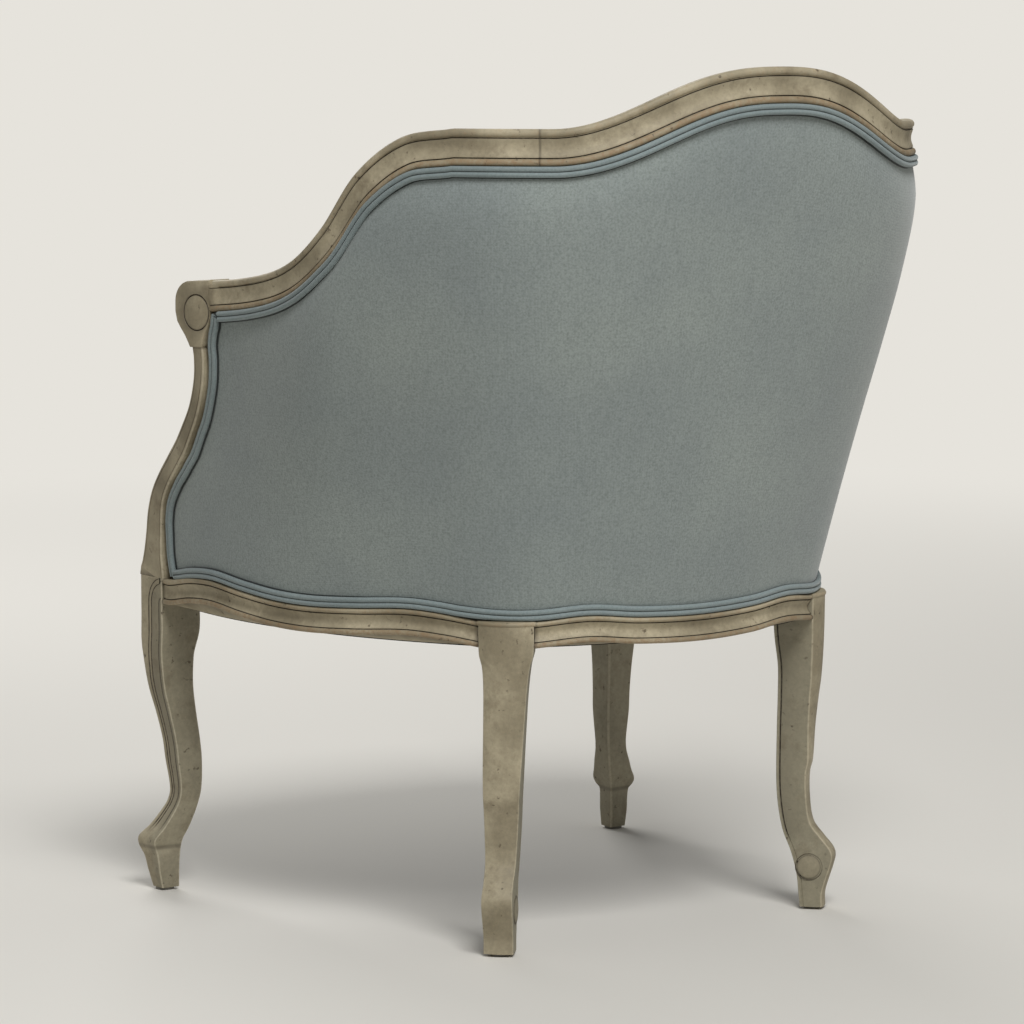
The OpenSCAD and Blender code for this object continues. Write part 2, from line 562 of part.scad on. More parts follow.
// Seat rails. The moulded face waves, and the inner lower edge is level for the black cloth.
front_end = [front_block[0][0] - joint_gap, front_block[0][1] + side_set];
function front_plan(u) = bow(front_end, [-front_end[0], front_end[1]], -front_bow, u);
dust_z = seat_rail_top - seat_rail_h + dust_t;
rise_z = seat_rail_top + seat_rail_rise;
rise_in = seat_inset + cover_t + lining_t + 8 * soft_gap;
seat_face_shares = [[-0.8, 0], [0, 0.04], [0.1, 0.12], [-0.1, 0.19], [-0.7, 0.26], [-1.2, 0.42], [-1.2, 0.6],
  [-0.7, 0.77], [-0.1, 0.83], [0, 0.92], [-0.5, 1]];
function seat_section(z, high) = concat(
  [[-seat_rail_w, high], [-seat_rail_w, dust_z], [-seat_rail_w / 2, dust_z]],
  [for (q = backwards(seat_face_shares)) [q[0] * cove_depth, z - q[1] * seat_rail_h]],
  [[-rise_in, z], [-rise_in, high]]);
function seat_ring(p, out, normal, z, high) =
  let(k = 1 / (out * normal))
  [for (q = seat_section(z, high)) [p[0] + out[0] * q[0] * k, p[1] + out[1] * q[0] * k, q[1]]];
function plan_normal(f, u) = let(d = heading(f, u)) [d[1], -d[0]];
// How far from its end a rail's section turns to meet the leg's face
turn_share = 0.14;
function rail_ring_out(f, u, at_0, at_1) =
  let(n = plan_normal(f, u))
  unit(n + (at_0 - n) * smooth(1 - u / turn_share) + (at_1 - n) * smooth(1 - (1 - u) / turn_share));
rail_stations_share = [0, 0.035, 0.075, 0.12, 0.17, 0.23, 0.3, 0.38, 0.46, 0.54, 0.62, 0.7, 0.77, 0.83, 0.88,
  0.925, 0.965, 1];
half_rail_share = [for (u = rail_stations_share) if (u < 0.48) u];
// The hidden top of a side rail starts behind the arm support's foot, which stands on the rail's end
ledge_drop = 1.5;
ledge_share = 0.05;
module seat_rail(f, shares, at_0, at_1, stations, low_share = 0, push = [0, 0]) {
  sweep([for (u = backwards(stations)) let(z = seat_rail_top + wave(shares, u))
    seat_ring(f(u) + (u < 1 ? [0, 0] : push), rail_ring_out(f, u, at_0, at_1), plan_normal(f, u), z,
      u < low_share ? z - ledge_drop : rise_z)]);
}
// A side rail runs on into the rear leg, and its shoulder is cut back round the tenon
module seat_rail_side() {
  difference() {
    seat_rail(function(u) side_plan(u), side_wave_shares, [1, 0], diag, rail_stations_share, ledge_share,
      rear_across * (tenon_len + 2 * over));
    corner_screw_set(hole_gap);
    side_rear_shoulder();
  }
  side_front_tenon(0);
}
module seat_rail_left() color(paint) seat_rail_side();
module seat_rail_right() color(paint) mirror([1, 0, 0]) seat_rail_side();
module seat_rail_rear() color(paint) both() {
  difference() {
    seat_rail(function(u) rear_plan(u), rear_wave_shares, diag, diag, concat(half_rail_share, [0.5]));
    corner_screw_set(hole_gap);
  }
  rear_end_tenon(0);
}
module seat_rail_front() color(paint) both() {
  difference() {
    mirror([0, 1, 0])
      seat_rail(function(u) let(p = front_plan(u)) [p[0], -p[1]], front_wave_shares, [0, 1], [0, 1],
        concat(half_rail_share, [0.5]));
    corner_screw_set(hole_gap);
  }
  front_end_tenon(0);
}

// Tenons: boxes square to the legs' faces, rooted in the rails
tenon_root = 5;
tenon_in_share = 0.6;
tenon_z = seat_rail_top - seat_rail_h * 0.45;
module tenon(gap) {
  translate([-tenon_root, -tenon_t / 2 - gap, -tenon_h / 2 - gap])
    cube([tenon_root + tenon_len + gap, tenon_t + 2 * gap, tenon_h + 2 * gap]);
}
module side_front_tenon(gap)
  translate([side_front[0] - seat_rail_w * tenon_in_share, side_front[1], tenon_z]) rotate([0, 0, -90]) tenon(gap);
module front_end_tenon(gap)
  translate([front_end[0], front_end[1] + seat_rail_w / 2, tenon_z]) tenon(gap);
module side_rear_tenon(gap) {
  p = side_rear - diag * seat_rail_w * tenon_in_share;
  translate([p[0], p[1], tenon_z]) rotate([0, 0, 135]) tenon(gap);
}
module side_rear_shoulder() {
  p = side_rear - diag * seat_rail_w * tenon_in_share;
  translate([p[0], p[1], tenon_z]) rotate([0, 0, 135]) difference() {
    translate([0, -2 * seat_rail_w, -2 * seat_rail_h]) cube([3 * tenon_len, 4 * seat_rail_w, 4 * seat_rail_h]);
    tenon(0);
  }
}
module rear_end_tenon(gap) {
  p = rear_end - diag * seat_rail_w * tenon_in_share;
  translate([p[0], p[1], tenon_z]) rotate([0, 0, -45]) tenon(gap);
}

// Corner blocks: wedges between two rails and the inside of a leg, each held by two screws
block_lift = 3;
block_z = dust_z + block_lift;
block_gap = 0.3;
function inner_side(u) = side_plan(u) - plan_normal(function(w) side_plan(w), u) * (seat_rail_w + block_gap);
function inner_rear(u) = rear_plan(u) - plan_normal(function(w) rear_plan(w), u) * (seat_rail_w + block_gap);
function inner_front(u) = front_plan(u) + plan_normal(function(w) front_plan(w), u) * (seat_rail_w + block_gap);
side_len = norm(side_rear - side_front);
block_side_share = block_len / side_len;
front_block_pts = [inner_side(turn_share * 0.4), inner_side(block_side_share),
  inner_front(block_len / (2 * front_end[0])), inner_front(turn_share * 0.3)];
rear_in = leg_w * rear_in_shares[len(rear_in_shares) - 1][1] - block_gap;
rear_block_pts = [inner_side(1 - turn_share * 0.5), rear_foot + diag * rear_in / 2, inner_rear(turn_share * 0.7),
  inner_rear(block_len / (2 * rear_end[0]) + turn_share * 0.5), inner_side(1 - block_side_share - turn_share * 0.3)];
module front_block_body() difference() {
  translate([0, 0, block_z]) linear_extrude(block_h) polygon(front_block_pts);
  translate([front_block[0][0] - block_gap, front_block[0][1] - block_gap, 0])
    cube([front_block_w + 2 * block_gap, front_block_d + 2 * block_gap, back_h]);
  corner_screw_set(hole_gap);
}
module rear_block_body() difference() {
  translate([0, 0, block_z]) linear_extrude(block_h) polygon(rear_block_pts);
  translate([rear_foot[0], rear_foot[1], 0]) rotate([0, 0, 45]) translate([rear_in, rear_shift - rear_block_w / 2, 0])
    cube([leg_w * 2, rear_block_w, back_h]);
  corner_screw_set(hole_gap);
}
module corner_block_front_left() color(beech) front_block_body();
module corner_block_front_right() color(beech) mirror([1, 0, 0]) front_block_body();
module corner_block_rear_left() color(beech) rear_block_body();
module corner_block_rear_right() color(beech) mirror([1, 0, 0]) rear_block_body();

// Screws of the left side's two blocks: each starts inside its block and ends in its rail
screw_in = 12;
head_d = 8;
head_h = 3;
module corner_screw(p, n, gap) {
  translate([p[0], p[1], block_z + block_h / 2]) rotate([0, 0, atan2(n[1], n[0])]) rotate([0, 90, 0])
    translate([0, 0, -screw_in]) {
      cylinder(h = screw_len + gap, d = screw_d + 2 * gap, $fn = 24);
      translate([0, 0, gap > 0 ? -seat_rail_w : 0]) cylinder(h = head_h + (gap > 0 ? seat_rail_w : 0),
        d = head_d + 2 * gap, $fn = 24);
    }
}
module corner_screw_set(gap) {
  u = block_side_share * 0.72;
  corner_screw(inner_side(u), plan_normal(function(w) side_plan(w), u), gap);
  w = block_len / (2 * front_end[0]) * 0.72;
  corner_screw(inner_front(w), [0, -1], gap);
  k = 1 - block_side_share;
  corner_screw(inner_side(k), plan_normal(function(w) side_plan(w), k), gap);
  m = block_len / (2 * rear_end[0]);
  corner_screw(inner_rear(m), plan_normal(function(w) rear_plan(w), m), gap);
}
module corner_screws() color(steel) both() corner_screw_set(0);

// Back stile: a post under the shell from the rear leg's top to the crest rail
stile_half_share = 0.025;
module stile() difference() {
  slab(between(stile_share - stile_half_share, stile_share + stile_half_share), shell_rows,
    function(t, v) stile_at(t, v, stile_out), function(t, v) stile_at(t, v, stile_out - stile_t));
  stile_head_dowel(hole_gap);
  stile_foot_dowel(hole_gap);
}
function stile_at(t, v, o) =
  at(t, v > 0 ? v : share_at(t, seat_rail_top + joint_gap), o);
module back_stile_left() color(beech) stile();
module back_stile_right() color(beech) mirror([1, 0, 0]) stile();
module stile_head_dowel(gap) {
  p = at(stile_share, 1, stile_out - stile_t / 2);
  translate(p) cylinder(h = dowel_len + 2 * gap, d = dowel_d + 2 * gap, center = true, $fn = 32);
}
module stile_foot_dowel(gap) {
  p = at(stile_share, 0, stile_out - stile_t / 2);
  translate([p[0], p[1], seat_rail_top]) cylinder(h = dowel_len + 2 * gap, d = dowel_d + 2 * gap, center = true,
    $fn = 32);
}
module frame_dowels() color(beech) both() {
  rail_joint_dowels(0);
  stile_head_dowel(0);
  stile_foot_dowel(0);
  support_head_dowel(0);
  support_foot_dowel(0);
}

// Tacking rails: level strips under the shell, between the stiles and from each stile to its support
tack_z = 402;
tack_h = 24;
tack_t = stile_t;
function level_at(t, z, o) = at(t, share_at(t, z), o);
module tacking(from, to) {
  slab(between(from, to), [tack_z, tack_z + tack_h],
    function(t, z) level_at(t, z, stile_out - 2 * soft_gap), function(t, z) level_at(t, z, stile_out - tack_t));
}
stile_gap_share = 0.0008;
module back_tacking_rail() color(beech)
  tacking(-(stile_share - stile_half_share - stile_gap_share), stile_share - stile_half_share - stile_gap_share);
module arm_tacking() tacking(stile_share + stile_half_share + stile_gap_share, 0.998);
module arm_tacking_rail_left() color(beech) arm_tacking();
module arm_tacking_rail_right() color(beech) mirror([1, 0, 0]) arm_tacking();

// Webbing: upright straps behind the back padding, and a seat lattice on the rails
web_out = stile_out - stile_t - soft_gap;
back_strap_shares = [-0.3, -0.18, -0.06, 0.06, 0.18, 0.3];
back_strap_half_share = 0.035;
between_rows = [for (v = shell_rows) if (v > 0 && v < 1) v];
module back_webbing() color(jute) for (c = back_strap_shares) {
  slab(between(c - back_strap_half_share, c + back_strap_half_share), concat([0.06], between_rows, [0.985]),
    function(t, v) at(t, v, web_out), function(t, v) at(t, v, web_out - webbing_t));
}

// Plan outline of what lies on the seat frame: the shell moved inwards, closed by the front rail moved inwards
function inner_outline(inset, last, front_in) = concat(
  [for (t = steps(-last, last, 40)) let(p = shell(t, 0) - shell_out(t, 0) * inset) [p[0], p[1]]],
  [for (u = steps(0.03, 0.97, 12)) front_plan(u) + [0, front_in]]);

// Plan room round the top of a rear leg
module rear_leg_room() translate(rear_foot) rotate(45)
  translate([rear_in - block_gap, rear_shift - rear_block_w / 2 - block_gap])
  square([leg_w * 2, rear_block_w + 2 * block_gap]);

// Seat webbing: a woven net nailed to the tops of the seat rails
strap_pitch = 88;
strap_count = 3;
web_z = rise_z + soft_gap;
web_margin = 3;
web_shift = 18;
web_inset = rise_in - seat_inset + web_margin;
module seat_webbing() color(jute) translate([0, 0, web_z]) linear_extrude(webbing_t) intersection() {
  difference() {
    polygon(inner_outline(web_inset, 0.94, rise_in + web_margin));
    both() rear_leg_room();
  }
  union() {
    for (i = [-strap_count:strap_count])
      translate([i * strap_pitch - strap_w / 2, -back_h / 2]) square([strap_w, back_h]);
    for (i = [-strap_count + 0.5:strap_count - 0.5])
      translate([-back_h / 2, feet_y - web_shift + i * strap_pitch - strap_w / 2]) square([back_h, strap_w]);
  }
}

// Deck: the padded platform, with the front border that hangs from it over the front rail
deck_z = web_z + webbing_t + soft_gap;
deck_top = deck_z + deck_t;
deck_in = stile_t - stile_out + soft_gap;
border_in = seat_inset + cover_t;
deck_margin = 6;
deck_notch_gap = 2;
module seat_deck() color(fabric) {
  translate([0, 0, deck_z]) linear_extrude(deck_t) difference() {
    polygon(inner_outline(deck_in + deck_margin, 0.955, border_in));
    both() translate([support_foot[0] - support_t - deck_notch_gap, support_foot[1] - support_foot_w])
      square([support_t * 2, support_foot_w * 1.7]);
  }
  slab(steps(0.04, 0.96, 24), [0, 1],
    function(u, v) border_point(u, v, -seat_inset), function(u, v) border_point(u, v, -border_in - soft_gap));
}
function border_point(u, v, o) =
  let(p = front_plan(u) - [0, o], z = seat_rail_top + wave(front_wave_shares, u) + 2 * soft_gap)
  [p[0], p[1], mix(z, deck_z + deck_t * 0.8, v)];

// Inside padding: thick at its middle, drawn in at its top and sides
pad_z = deck_top + soft_gap;
function crown_share(a, b) =
  (1 - pow(abs(a), 5)) * (b > 0.4 ? 1 - pow((b - 0.4) / 0.6, 3) : 1 - 0.15 * pow((0.4 - b) / 0.4, 2));
module pad(from, to, out) {
  last = len(shell_rows) - 1;
  function low(t) = share_at(t, pad_z);
  function high(t) = share_at(t, head_point(t, 2 * welt_d + 14 * soft_gap, 0)[2]);
  function row(t, j) = j < 1 ? low(t) : j < last ? shell_rows[j] : high(t);
  slab(between(from, to), [for (j = [0:last]) j],
    function(t, j) at(t, row(t, j), out),
    function(t, j) at(t, row(t, j), out - mix(pad_edge_t, pad_t,
      crown_share(2 * (t - from) / (to - from) - 1, (row(t, j) - low(t)) / (high(t) - low(t))))));
}
pad_fold_share = 0.442;
module back_pad() color(fabric) pad(-pad_fold_share, pad_fold_share, web_out - webbing_t - 4 * soft_gap);
module arm_pad() pad(pad_fold_share + 2 * stile_gap_share, 0.984, web_out - soft_gap);
module arm_pad_left() color(fabric) arm_pad();
module arm_pad_right() color(fabric) mirror([1, 0, 0]) arm_pad();

// Outside cover in one piece round the back and both arms, and the hessian behind it
module outside_cover() color(fabric) slab(shell_stations, shell_rows,
  function(t, v) at(t, v, 0), function(t, v) at(t, v, -cover_t));
module outside_lining() color(jute) slab(shell_stations, shell_rows,
  function(t, v) at(t, v, -cover_t - soft_gap), function(t, v) at(t, v, -cover_t - lining_t - soft_gap));

// Double welts: two cords side by side, laid along a path with an outward direction at each point
cord_shares = [for (a = [-135, -65, 10]) [1 + cos(a), -1 + sin(a)]];
double_shares = concat(cord_shares, [for (q = backwards(cord_shares)) [q[0], -q[1]]]);
module welt(path, outs) {
  n = len(path) - 1;
  sweep([for (i = [0:n]) let(t = unit(path[min(n, i + 1)] - path[max(0, i - 1)]), b = unit(cross(t, outs[i])))
    [for (q = double_shares * welt_d / 2) path[i] + outs[i] * q[0] + b * q[1]]]);
}
welt_end = 1 - 2.2 * welt_d / shell_front;
welt_down = welt_d + soft_gap;
function head_point(t, down, o) =
  let(z = shell(t, 1)[2] - down / rail_up(t * shell_front)[2]) at(t, share_at(t, z), o);
module rail_welt_outer() color(fabric) welt(
  [for (t = between(-welt_end, welt_end)) head_point(t, welt_down, 3 * soft_gap)],
  [for (t = between(-welt_end, welt_end)) shell_out(t, 1)]);
inner_welt_out = web_out - webbing_t - 2 * soft_gap;
module rail_welt_inner() color(fabric) welt(
  [for (t = between(-0.975, 0.975)) head_point(t, welt_down + 4 * soft_gap, inner_welt_out)],
  [for (t = between(-0.975, 0.975)) -shell_out(t, 1)]);
module seat_welt() color(fabric) welt(
  [for (t = between(-welt_end, welt_end)) at(t, share_at(t, shell(t, 0)[2] + welt_down), 3 * soft_gap)],
  [for (t = between(-welt_end, welt_end)) shell_out(t, 0)]);
function arm_welt_place(v) = 1 - (welt_d + soft_gap) * support_steep(support_share(shell(1, v)[2])) / shell_front;
module arm_welt() {
  vs = steps(0.006, 0.985, 20);
  welt([for (v = vs) at(arm_welt_place(v), v, 2 * soft_gap)], [for (v = vs) shell_out(arm_welt_place(v), v)]);
}
module arm_welt_left() color(fabric) arm_welt();
module arm_welt_right() color(fabric) mirror([1, 0, 0]) arm_welt();
module front_welt() color(fabric) {
  us = steps(0.045, 0.955, 20);
  welt([for (u = us) let(p = border_point(u, 0, soft_gap - seat_inset)) p + [0, 0, welt_down]],
    [for (u = us) [0, -1, 0]]);
}

// Black cloth under the seat, cut round the legs
dust_in = seat_rail_w * 0.57 - seat_inset;
module dust_cover() color(black_cloth) translate([0, 0, dust_z - dust_t - joint_gap]) linear_extrude(dust_t)
  difference() {
    polygon(inner_outline(dust_in, 0.96, seat_rail_w * 0.57));
    both() {
      translate(front_block[0] - [block_gap, front_block_d])
        square([front_block_w * 2, front_block_d * 2 + block_gap]);
      rear_leg_room();
    }
  }

// Loose cushion: crowned, with drawn-in sides between two piped seams
cushion_z = deck_top + soft_gap;
cushion_gap = 4;
cushion_out = web_out - webbing_t - pad_t - piping_d - cushion_gap;
cushion_in = 6;
cushion_corner_in = 12;
cushion_corner_back = 5;
cushion_front_y = front_plan(0.5)[1] + cushion_in;
cushion_corner = [support_foot[0] - support_t - piping_d - cushion_gap, front_plan(0)[1] + cushion_corner_in];
cushion_side_share = 0.9;
cushion_sides = [for (t = steps(-cushion_side_share, cushion_side_share, 32))
  let(p = at(t, share_at(t, cushion_z), cushion_out)) [p[0], p[1]]];
function bend(a, b, c, u) = a * (1 - u) * (1 - u) + b * 2 * u * (1 - u) + c * u * u;
cushion_turn = 34;
cushion_edge = [for (u = steps(0.1, 1, 6)) let(c = cushion_corner)
  bend(c + [0, cushion_turn], c, [c[0] - cushion_turn, c[1] - cushion_corner_back], u)];
cushion_front = [for (x = [0.6, 0.3, 0])
  [cushion_corner[0] * x, mix(cushion_front_y, cushion_corner[1] - cushion_corner_back, x * x * 1.2)]];
cushion_plan = concat(cushion_sides, cushion_edge, cushion_front,
  [for (p = backwards([for (p = concat(cushion_edge, [cushion_front[0], cushion_front[1]])) p])) [-p[0], p[1]]]);
cushion_middle = [0, (cushion_corner[1] + back_y) / 2 - cushion_turn];
cushion_ring = backwards(cushion_plan);
function cushion_level(share, z) = [for (p = cushion_ring) let(q = mix(cushion_middle, p, share)) [q[0], q[1], z]];
cushion_foot_h = 8;
cushion_low = cushion_z + cushion_foot_h;
cushion_high = cushion_low + cushion_t;
waist_share = cushion_waist / cushion_corner[0];
crown_shares = [[0.96, 0.22], [0.88, 0.5], [0.76, 0.73], [0.6, 0.89], [0.38, 0.98]];
module seat_cushion() color(fabric) {
  rings = concat([cushion_level(0.6, cushion_z), cushion_level(0.86, cushion_z),
    cushion_level(0.95, cushion_z + cushion_foot_h * 0.4), cushion_level(1, cushion_low)],
    [for (v = [0.2, 0.5, 0.8])
      cushion_level(1 - waist_share * 4 * v * (1 - v), mix(cushion_low, cushion_high, v))],
    [cushion_level(1, cushion_high)],
    [for (q = crown_shares) cushion_level(q[0], cushion_high + cushion_crown * q[1])]);
  n = len(cushion_ring);
  m = len(rings);
  polyhedron(points = concat([for (r = rings) each r],
      [concat(cushion_middle, cushion_z), concat(cushion_middle, cushion_high + cushion_crown)]),
    faces = concat(
      [for (i = [0:m - 2], j = [0:n - 1]) let(a = i * n + j, b = i * n + (j + 1) % n)
        each [[a, a + n, b + n], [a, b + n, b]]],
      [for (j = [0:n - 1]) [j, (j + 1) % n, m * n]],
      [for (j = [0:n - 1]) [(m - 1) * n + (j + 1) % n, (m - 1) * n + j, m * n + 1]]));
}
function ring_out(j) =
  let(n = len(cushion_ring), d = unit(cushion_ring[(j + 1) % n] - cushion_ring[(j + n - 1) % n])) [d[1], -d[0]];
module piping(z) {
  n = len(cushion_ring);
  r = piping_d / 2;
  polyhedron(points = [for (j = [0:n - 1], a = [0:60:300])
      let(p = cushion_ring[j] + ring_out(j) * (r + soft_gap + r * cos(a))) [p[0], p[1], z + r * sin(a)]],
    faces = [for (j = [0:n - 1], k = [0:5])
      let(a = j * 6 + k, b = j * 6 + (k + 1) % 6, c = ((j + 1) % n) * 6 + k, d = ((j + 1) % n) * 6 + (k + 1) % 6)
      each [[a, d, c], [a, b, d]]]);
}
module cushion_piping() color(fabric) {
  piping(cushion_low);
  piping(cushion_high);
}

crest_rail();
arm_rail_left();
arm_rail_right();
arm_support_left();
arm_support_right();
front_leg_left();
front_leg_right();
rear_leg_left();
rear_leg_right();
seat_rail_front();
seat_rail_left();
seat_rail_right();
seat_rail_rear();
back_stile_left();
back_stile_right();
back_tacking_rail();
arm_tacking_rail_left();
arm_tacking_rail_right();
corner_block_front_left();
corner_block_front_right();
corner_block_rear_left();
corner_block_rear_right();
corner_screws();
frame_dowels();
seat_webbing();
back_webbing();
seat_deck();
back_pad();
arm_pad_left();
arm_pad_right();
outside_cover();
outside_lining();
rail_welt_outer();
rail_welt_inner();
arm_welt_left();
arm_welt_right();
seat_welt();
front_welt();
dust_cover();
foot_glide_front_left();
foot_glide_front_right();
foot_glide_rear_left();
foot_glide_rear_right();
seat_cushion();
cushion_piping();
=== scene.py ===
import bpy
import numpy as np
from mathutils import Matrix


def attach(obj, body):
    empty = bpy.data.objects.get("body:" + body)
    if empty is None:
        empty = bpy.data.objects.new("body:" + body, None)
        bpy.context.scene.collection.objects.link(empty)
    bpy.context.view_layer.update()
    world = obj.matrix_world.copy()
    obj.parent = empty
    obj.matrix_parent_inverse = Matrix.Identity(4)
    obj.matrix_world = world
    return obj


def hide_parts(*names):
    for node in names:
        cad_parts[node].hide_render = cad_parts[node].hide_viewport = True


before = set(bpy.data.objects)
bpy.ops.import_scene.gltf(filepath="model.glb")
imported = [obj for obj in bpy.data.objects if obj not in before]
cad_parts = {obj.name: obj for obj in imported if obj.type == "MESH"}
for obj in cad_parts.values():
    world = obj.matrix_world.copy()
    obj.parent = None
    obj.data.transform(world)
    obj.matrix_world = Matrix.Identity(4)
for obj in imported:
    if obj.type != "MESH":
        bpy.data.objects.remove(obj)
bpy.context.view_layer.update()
scene = bpy.context.scene

# Painted show wood
# The frame of the chair is carved beech under a greige chalk paint. A brown glaze was wiped over it, which
# stays in the carved lines and in smears, and the paint is rubbed through to the wood along the beads.
# The third paint colour is painted shade, a greyer paint for the sides that the light misses.
PAINT_LIGHT, PAINT_DARK, PAINT_SIDE_SHADE = "#b5aa90", "#8f856e", "#8b8673"
# The last colour of the next line is a painted highlight for the arrises, where they catch the light.
GLAZE, WIPED, RUBBED_WOOD, SPECK, ARRIS_HIGHLIGHT = "#2a2119", "#6d614c", "#8d7355", "#4a3d2e", "#c6bda6"
BRUSH_MM, PATCH_MM, SPECK_MM, CRAZE_MM, SMEAR_MM = 5.0, 70.0, 7.0, 2.2, 34.0


def linear(code):
    """sRGB hex colour as linear red, green, blue and alpha."""
    c = np.array([int(code[i:i + 2], 16) / 255 for i in (1, 3, 5)])
    c = np.where(c <= 0.04045, c / 12.92, ((c + 0.055) / 1.055) ** 2.4)
    return (*[float(x) for x in c], 1.0)


def add(tree, kind, *values, out=None, **named):
    """Adds a node and gives one output, the first live one unless named. Plain values fill its live inputs in
    turn. A name with a capital is an input, with _ for each space, and one in small letters is a property."""
    n = tree.nodes.new("ShaderNode" + kind)
    for key in filter(str.islower, named):
        setattr(n, key, named[key])
    pairs = list(zip([s for s in n.inputs if s.enabled], values))
    pairs += [(n.inputs[key.replace("_", " ")], named[key]) for key in named if not key.islower()]
    for socket, value in pairs:
        if isinstance(value, bpy.types.NodeSocket):
            tree.links.new(value, socket)
        else:
            socket.default_value = value
    return n.outputs[out] if out else next((s for s in n.outputs if s.enabled), None)


def material(name):
    """Material with an empty node tree, and its Object coordinates."""
    m = bpy.data.materials.new(name)
    m.use_nodes = True
    m.node_tree.nodes.clear()
    return m, m.node_tree, add(m.node_tree, "TexCoord", out="Object")


def chalk_paint():
    """Chalk paint: matt, patchy, with glaze in the grooves, wood on the worn edges, and fine specks."""
    m, tree, place = material("glazed_chalk_paint")
    patch, brush, fleck, craze, smear = (
        add(tree, "TexNoise", Vector=place, Scale=1000 / size, Detail=detail, Roughness=rough)
        for size, detail, rough in ((PATCH_MM, 4, 0.5), (BRUSH_MM, 6, 0.7), (SPECK_MM, 3, 0.5), (CRAZE_MM, 2, 0.5),
                                    (SMEAR_MM, 6, 0.7)))
    groove, worn, cool, arris = (add(tree, "Attribute", attribute_name=name, out="Fac")
                                 for name in ("groove", "worn", "cool", "arris"))
    tone = add(tree, "MapRange", patch, 0.38, 0.62)
    shade = add(tree, "Mix", tone, linear(PAINT_DARK), linear(PAINT_LIGHT), data_type="RGBA")
    # Painted shade: the sides that the light misses are mixed towards a greyer, darker paint.
    shade = add(tree, "Mix", cool, shade, linear(PAINT_SIDE_SHADE), data_type="RGBA")
    streak = add(tree, "MapRange", brush, 0.3, 0.7, 0.82, 1.1)
    shade = add(tree, "Mix", 1.0, shade, streak, data_type="RGBA", blend_type="MULTIPLY")
    smeared = add(tree, "MapRange", smear, 0.54, 0.72, 0.0, 0.6)
    # Painted highlight: the arrises are mixed towards a lighter paint, broken up by the brush noise.
    light, rub = (add(tree, "Math", where, brush, operation="MULTIPLY") for where in (arris, worn))
    rubbed = add(tree, "MapRange", rub, 0.36, 0.6, 0.0, 0.75)
    dots = add(tree, "MapRange", fleck, 0.66, 0.74, 0.0, 0.75)
    uneven = add(tree, "MapRange", brush, 0.3, 0.6, 0.55, 1.15)
    line = add(tree, "Math", groove, uneven, operation="MULTIPLY", use_clamp=True)
    for amount, colour in ((smeared, WIPED), (light, ARRIS_HIGHLIGHT), (rubbed, RUBBED_WOOD), (dots, SPECK), (line, GLAZE)):
        shade = add(tree, "Mix", amount, shade, linear(colour), data_type="RGBA")
    relief = add(tree, "Bump", Height=add(tree, "Math", brush, craze, operation="ADD"), Strength=0.35, Distance=0.0004)
    matt = add(tree, "MapRange", brush, 0.0, 1.0, 0.5, 0.72)
    add(tree, "OutputMaterial", add(tree, "BsdfPrincipled", Base_Color=shade, Roughness=matt, Normal=relief,
                                    Specular_IOR_Level=0.35))
    return m


paint = chalk_paint()

# Top rail: crest rail
# One moulded rail of three pieces runs round the back and down to the arms: a bead, a wide cove and a thinner
# bead outside, plain inside. The crest piece has the raised middle and is dowelled to the arm rails.
MM = 0.001
STEP = 0.004  # share of a line over which its direction is taken
back_h, shoulder_h, arm_h = 911, 851, 679
back_radius, back_y, plan_full = 355, 367, 10
crest_len, crest_power, fall_start = 244, 1.27, 345
arm_run, arm_flare, flare_share = 209, 16, 0.47
rail_w, rail_h, arm_rail_h = 30, 37, 33
joint_gap = 0.2
back_c = back_y - back_radius
quarter = back_radius * np.pi / 2
rail_end = quarter + arm_run
rail_joint = crest_len * 1.05
boss_r = 20.5
tip_start, tip_fade = rail_end - boss_r * 3.35, boss_r * 0.55
FALL = [[0, 0], [0.137, 0.056], [0.275, 0.273], [0.396, 0.6], [0.523, 0.81], [0.686, 0.92], [1, 1]]
# Points of a carved line: shift in half widths, share of the depth, glaze and wear
NOTCH = [[-1, 0, 0.15, 0.2], [-0.4, 0.8, 1, 0], [0, 1, 1, 0], [0.4, 0.8, 1, 0], [1, 0, 0.15, 0.2]]


def unit(v):
    """Vectors along the last axis, brought to length one."""
    return v / np.linalg.norm(v, axis=-1, keepdims=True)


def smooth(u):
    """Rises from 0 to 1 while u does, level at both ends."""
    c = np.clip(u, 0, 1)
    return c * c * (3 - 2 * c)


def mix(a, b, u):
    """The value a share u of the way from a to b."""
    return a + (b - a) * u


def curve(points, x):
    """Height at x of a smooth curve through (place, height) points: a cubic between each two neighbours."""
    p, x = np.asarray(points, float), np.asarray(x, float)
    i = np.clip(np.searchsorted(p[:, 0], x, side="right") - 1, 0, len(p) - 2)
    low, high = np.maximum(np.arange(len(p)) - 1, 0), np.minimum(np.arange(len(p)) + 1, len(p) - 1)
    slope = (p[high, 1] - p[low, 1]) / (p[high, 0] - p[low, 0])
    h = p[i + 1, 0] - p[i, 0]
    u = (x - p[i, 0]) / h
    return (p[i, 1] * (1 + 2 * u) * (1 - u) ** 2 + slope[i] * h * u * (1 - u) ** 2
            + p[i + 1, 1] * u * u * (3 - 2 * u) + slope[i + 1] * h * u * u * (u - 1))


def coords(*parts):
    """Coordinates, brought to one shape, as an array of points."""
    return np.stack(np.broadcast_arrays(*parts), -1)


def rail_plan(s):
    """Plan of the rail's outer face s millimetres along it: a fuller quarter circle, then the flared arm."""
    d = np.abs(s)
    a = np.minimum(d, quarter) / back_radius
    r = back_radius + plan_full * np.sin(2 * a) ** 2
    run = np.maximum(d - quarter, 0)
    flare = arm_flare * np.maximum(0, run / arm_run - 1 + flare_share) ** 2 / flare_share ** 2
    side = np.where(np.asarray(s) < 0, -1.0, 1.0)
    return coords(side * (r * np.sin(a) + flare), back_c + r * np.cos(a) - run)


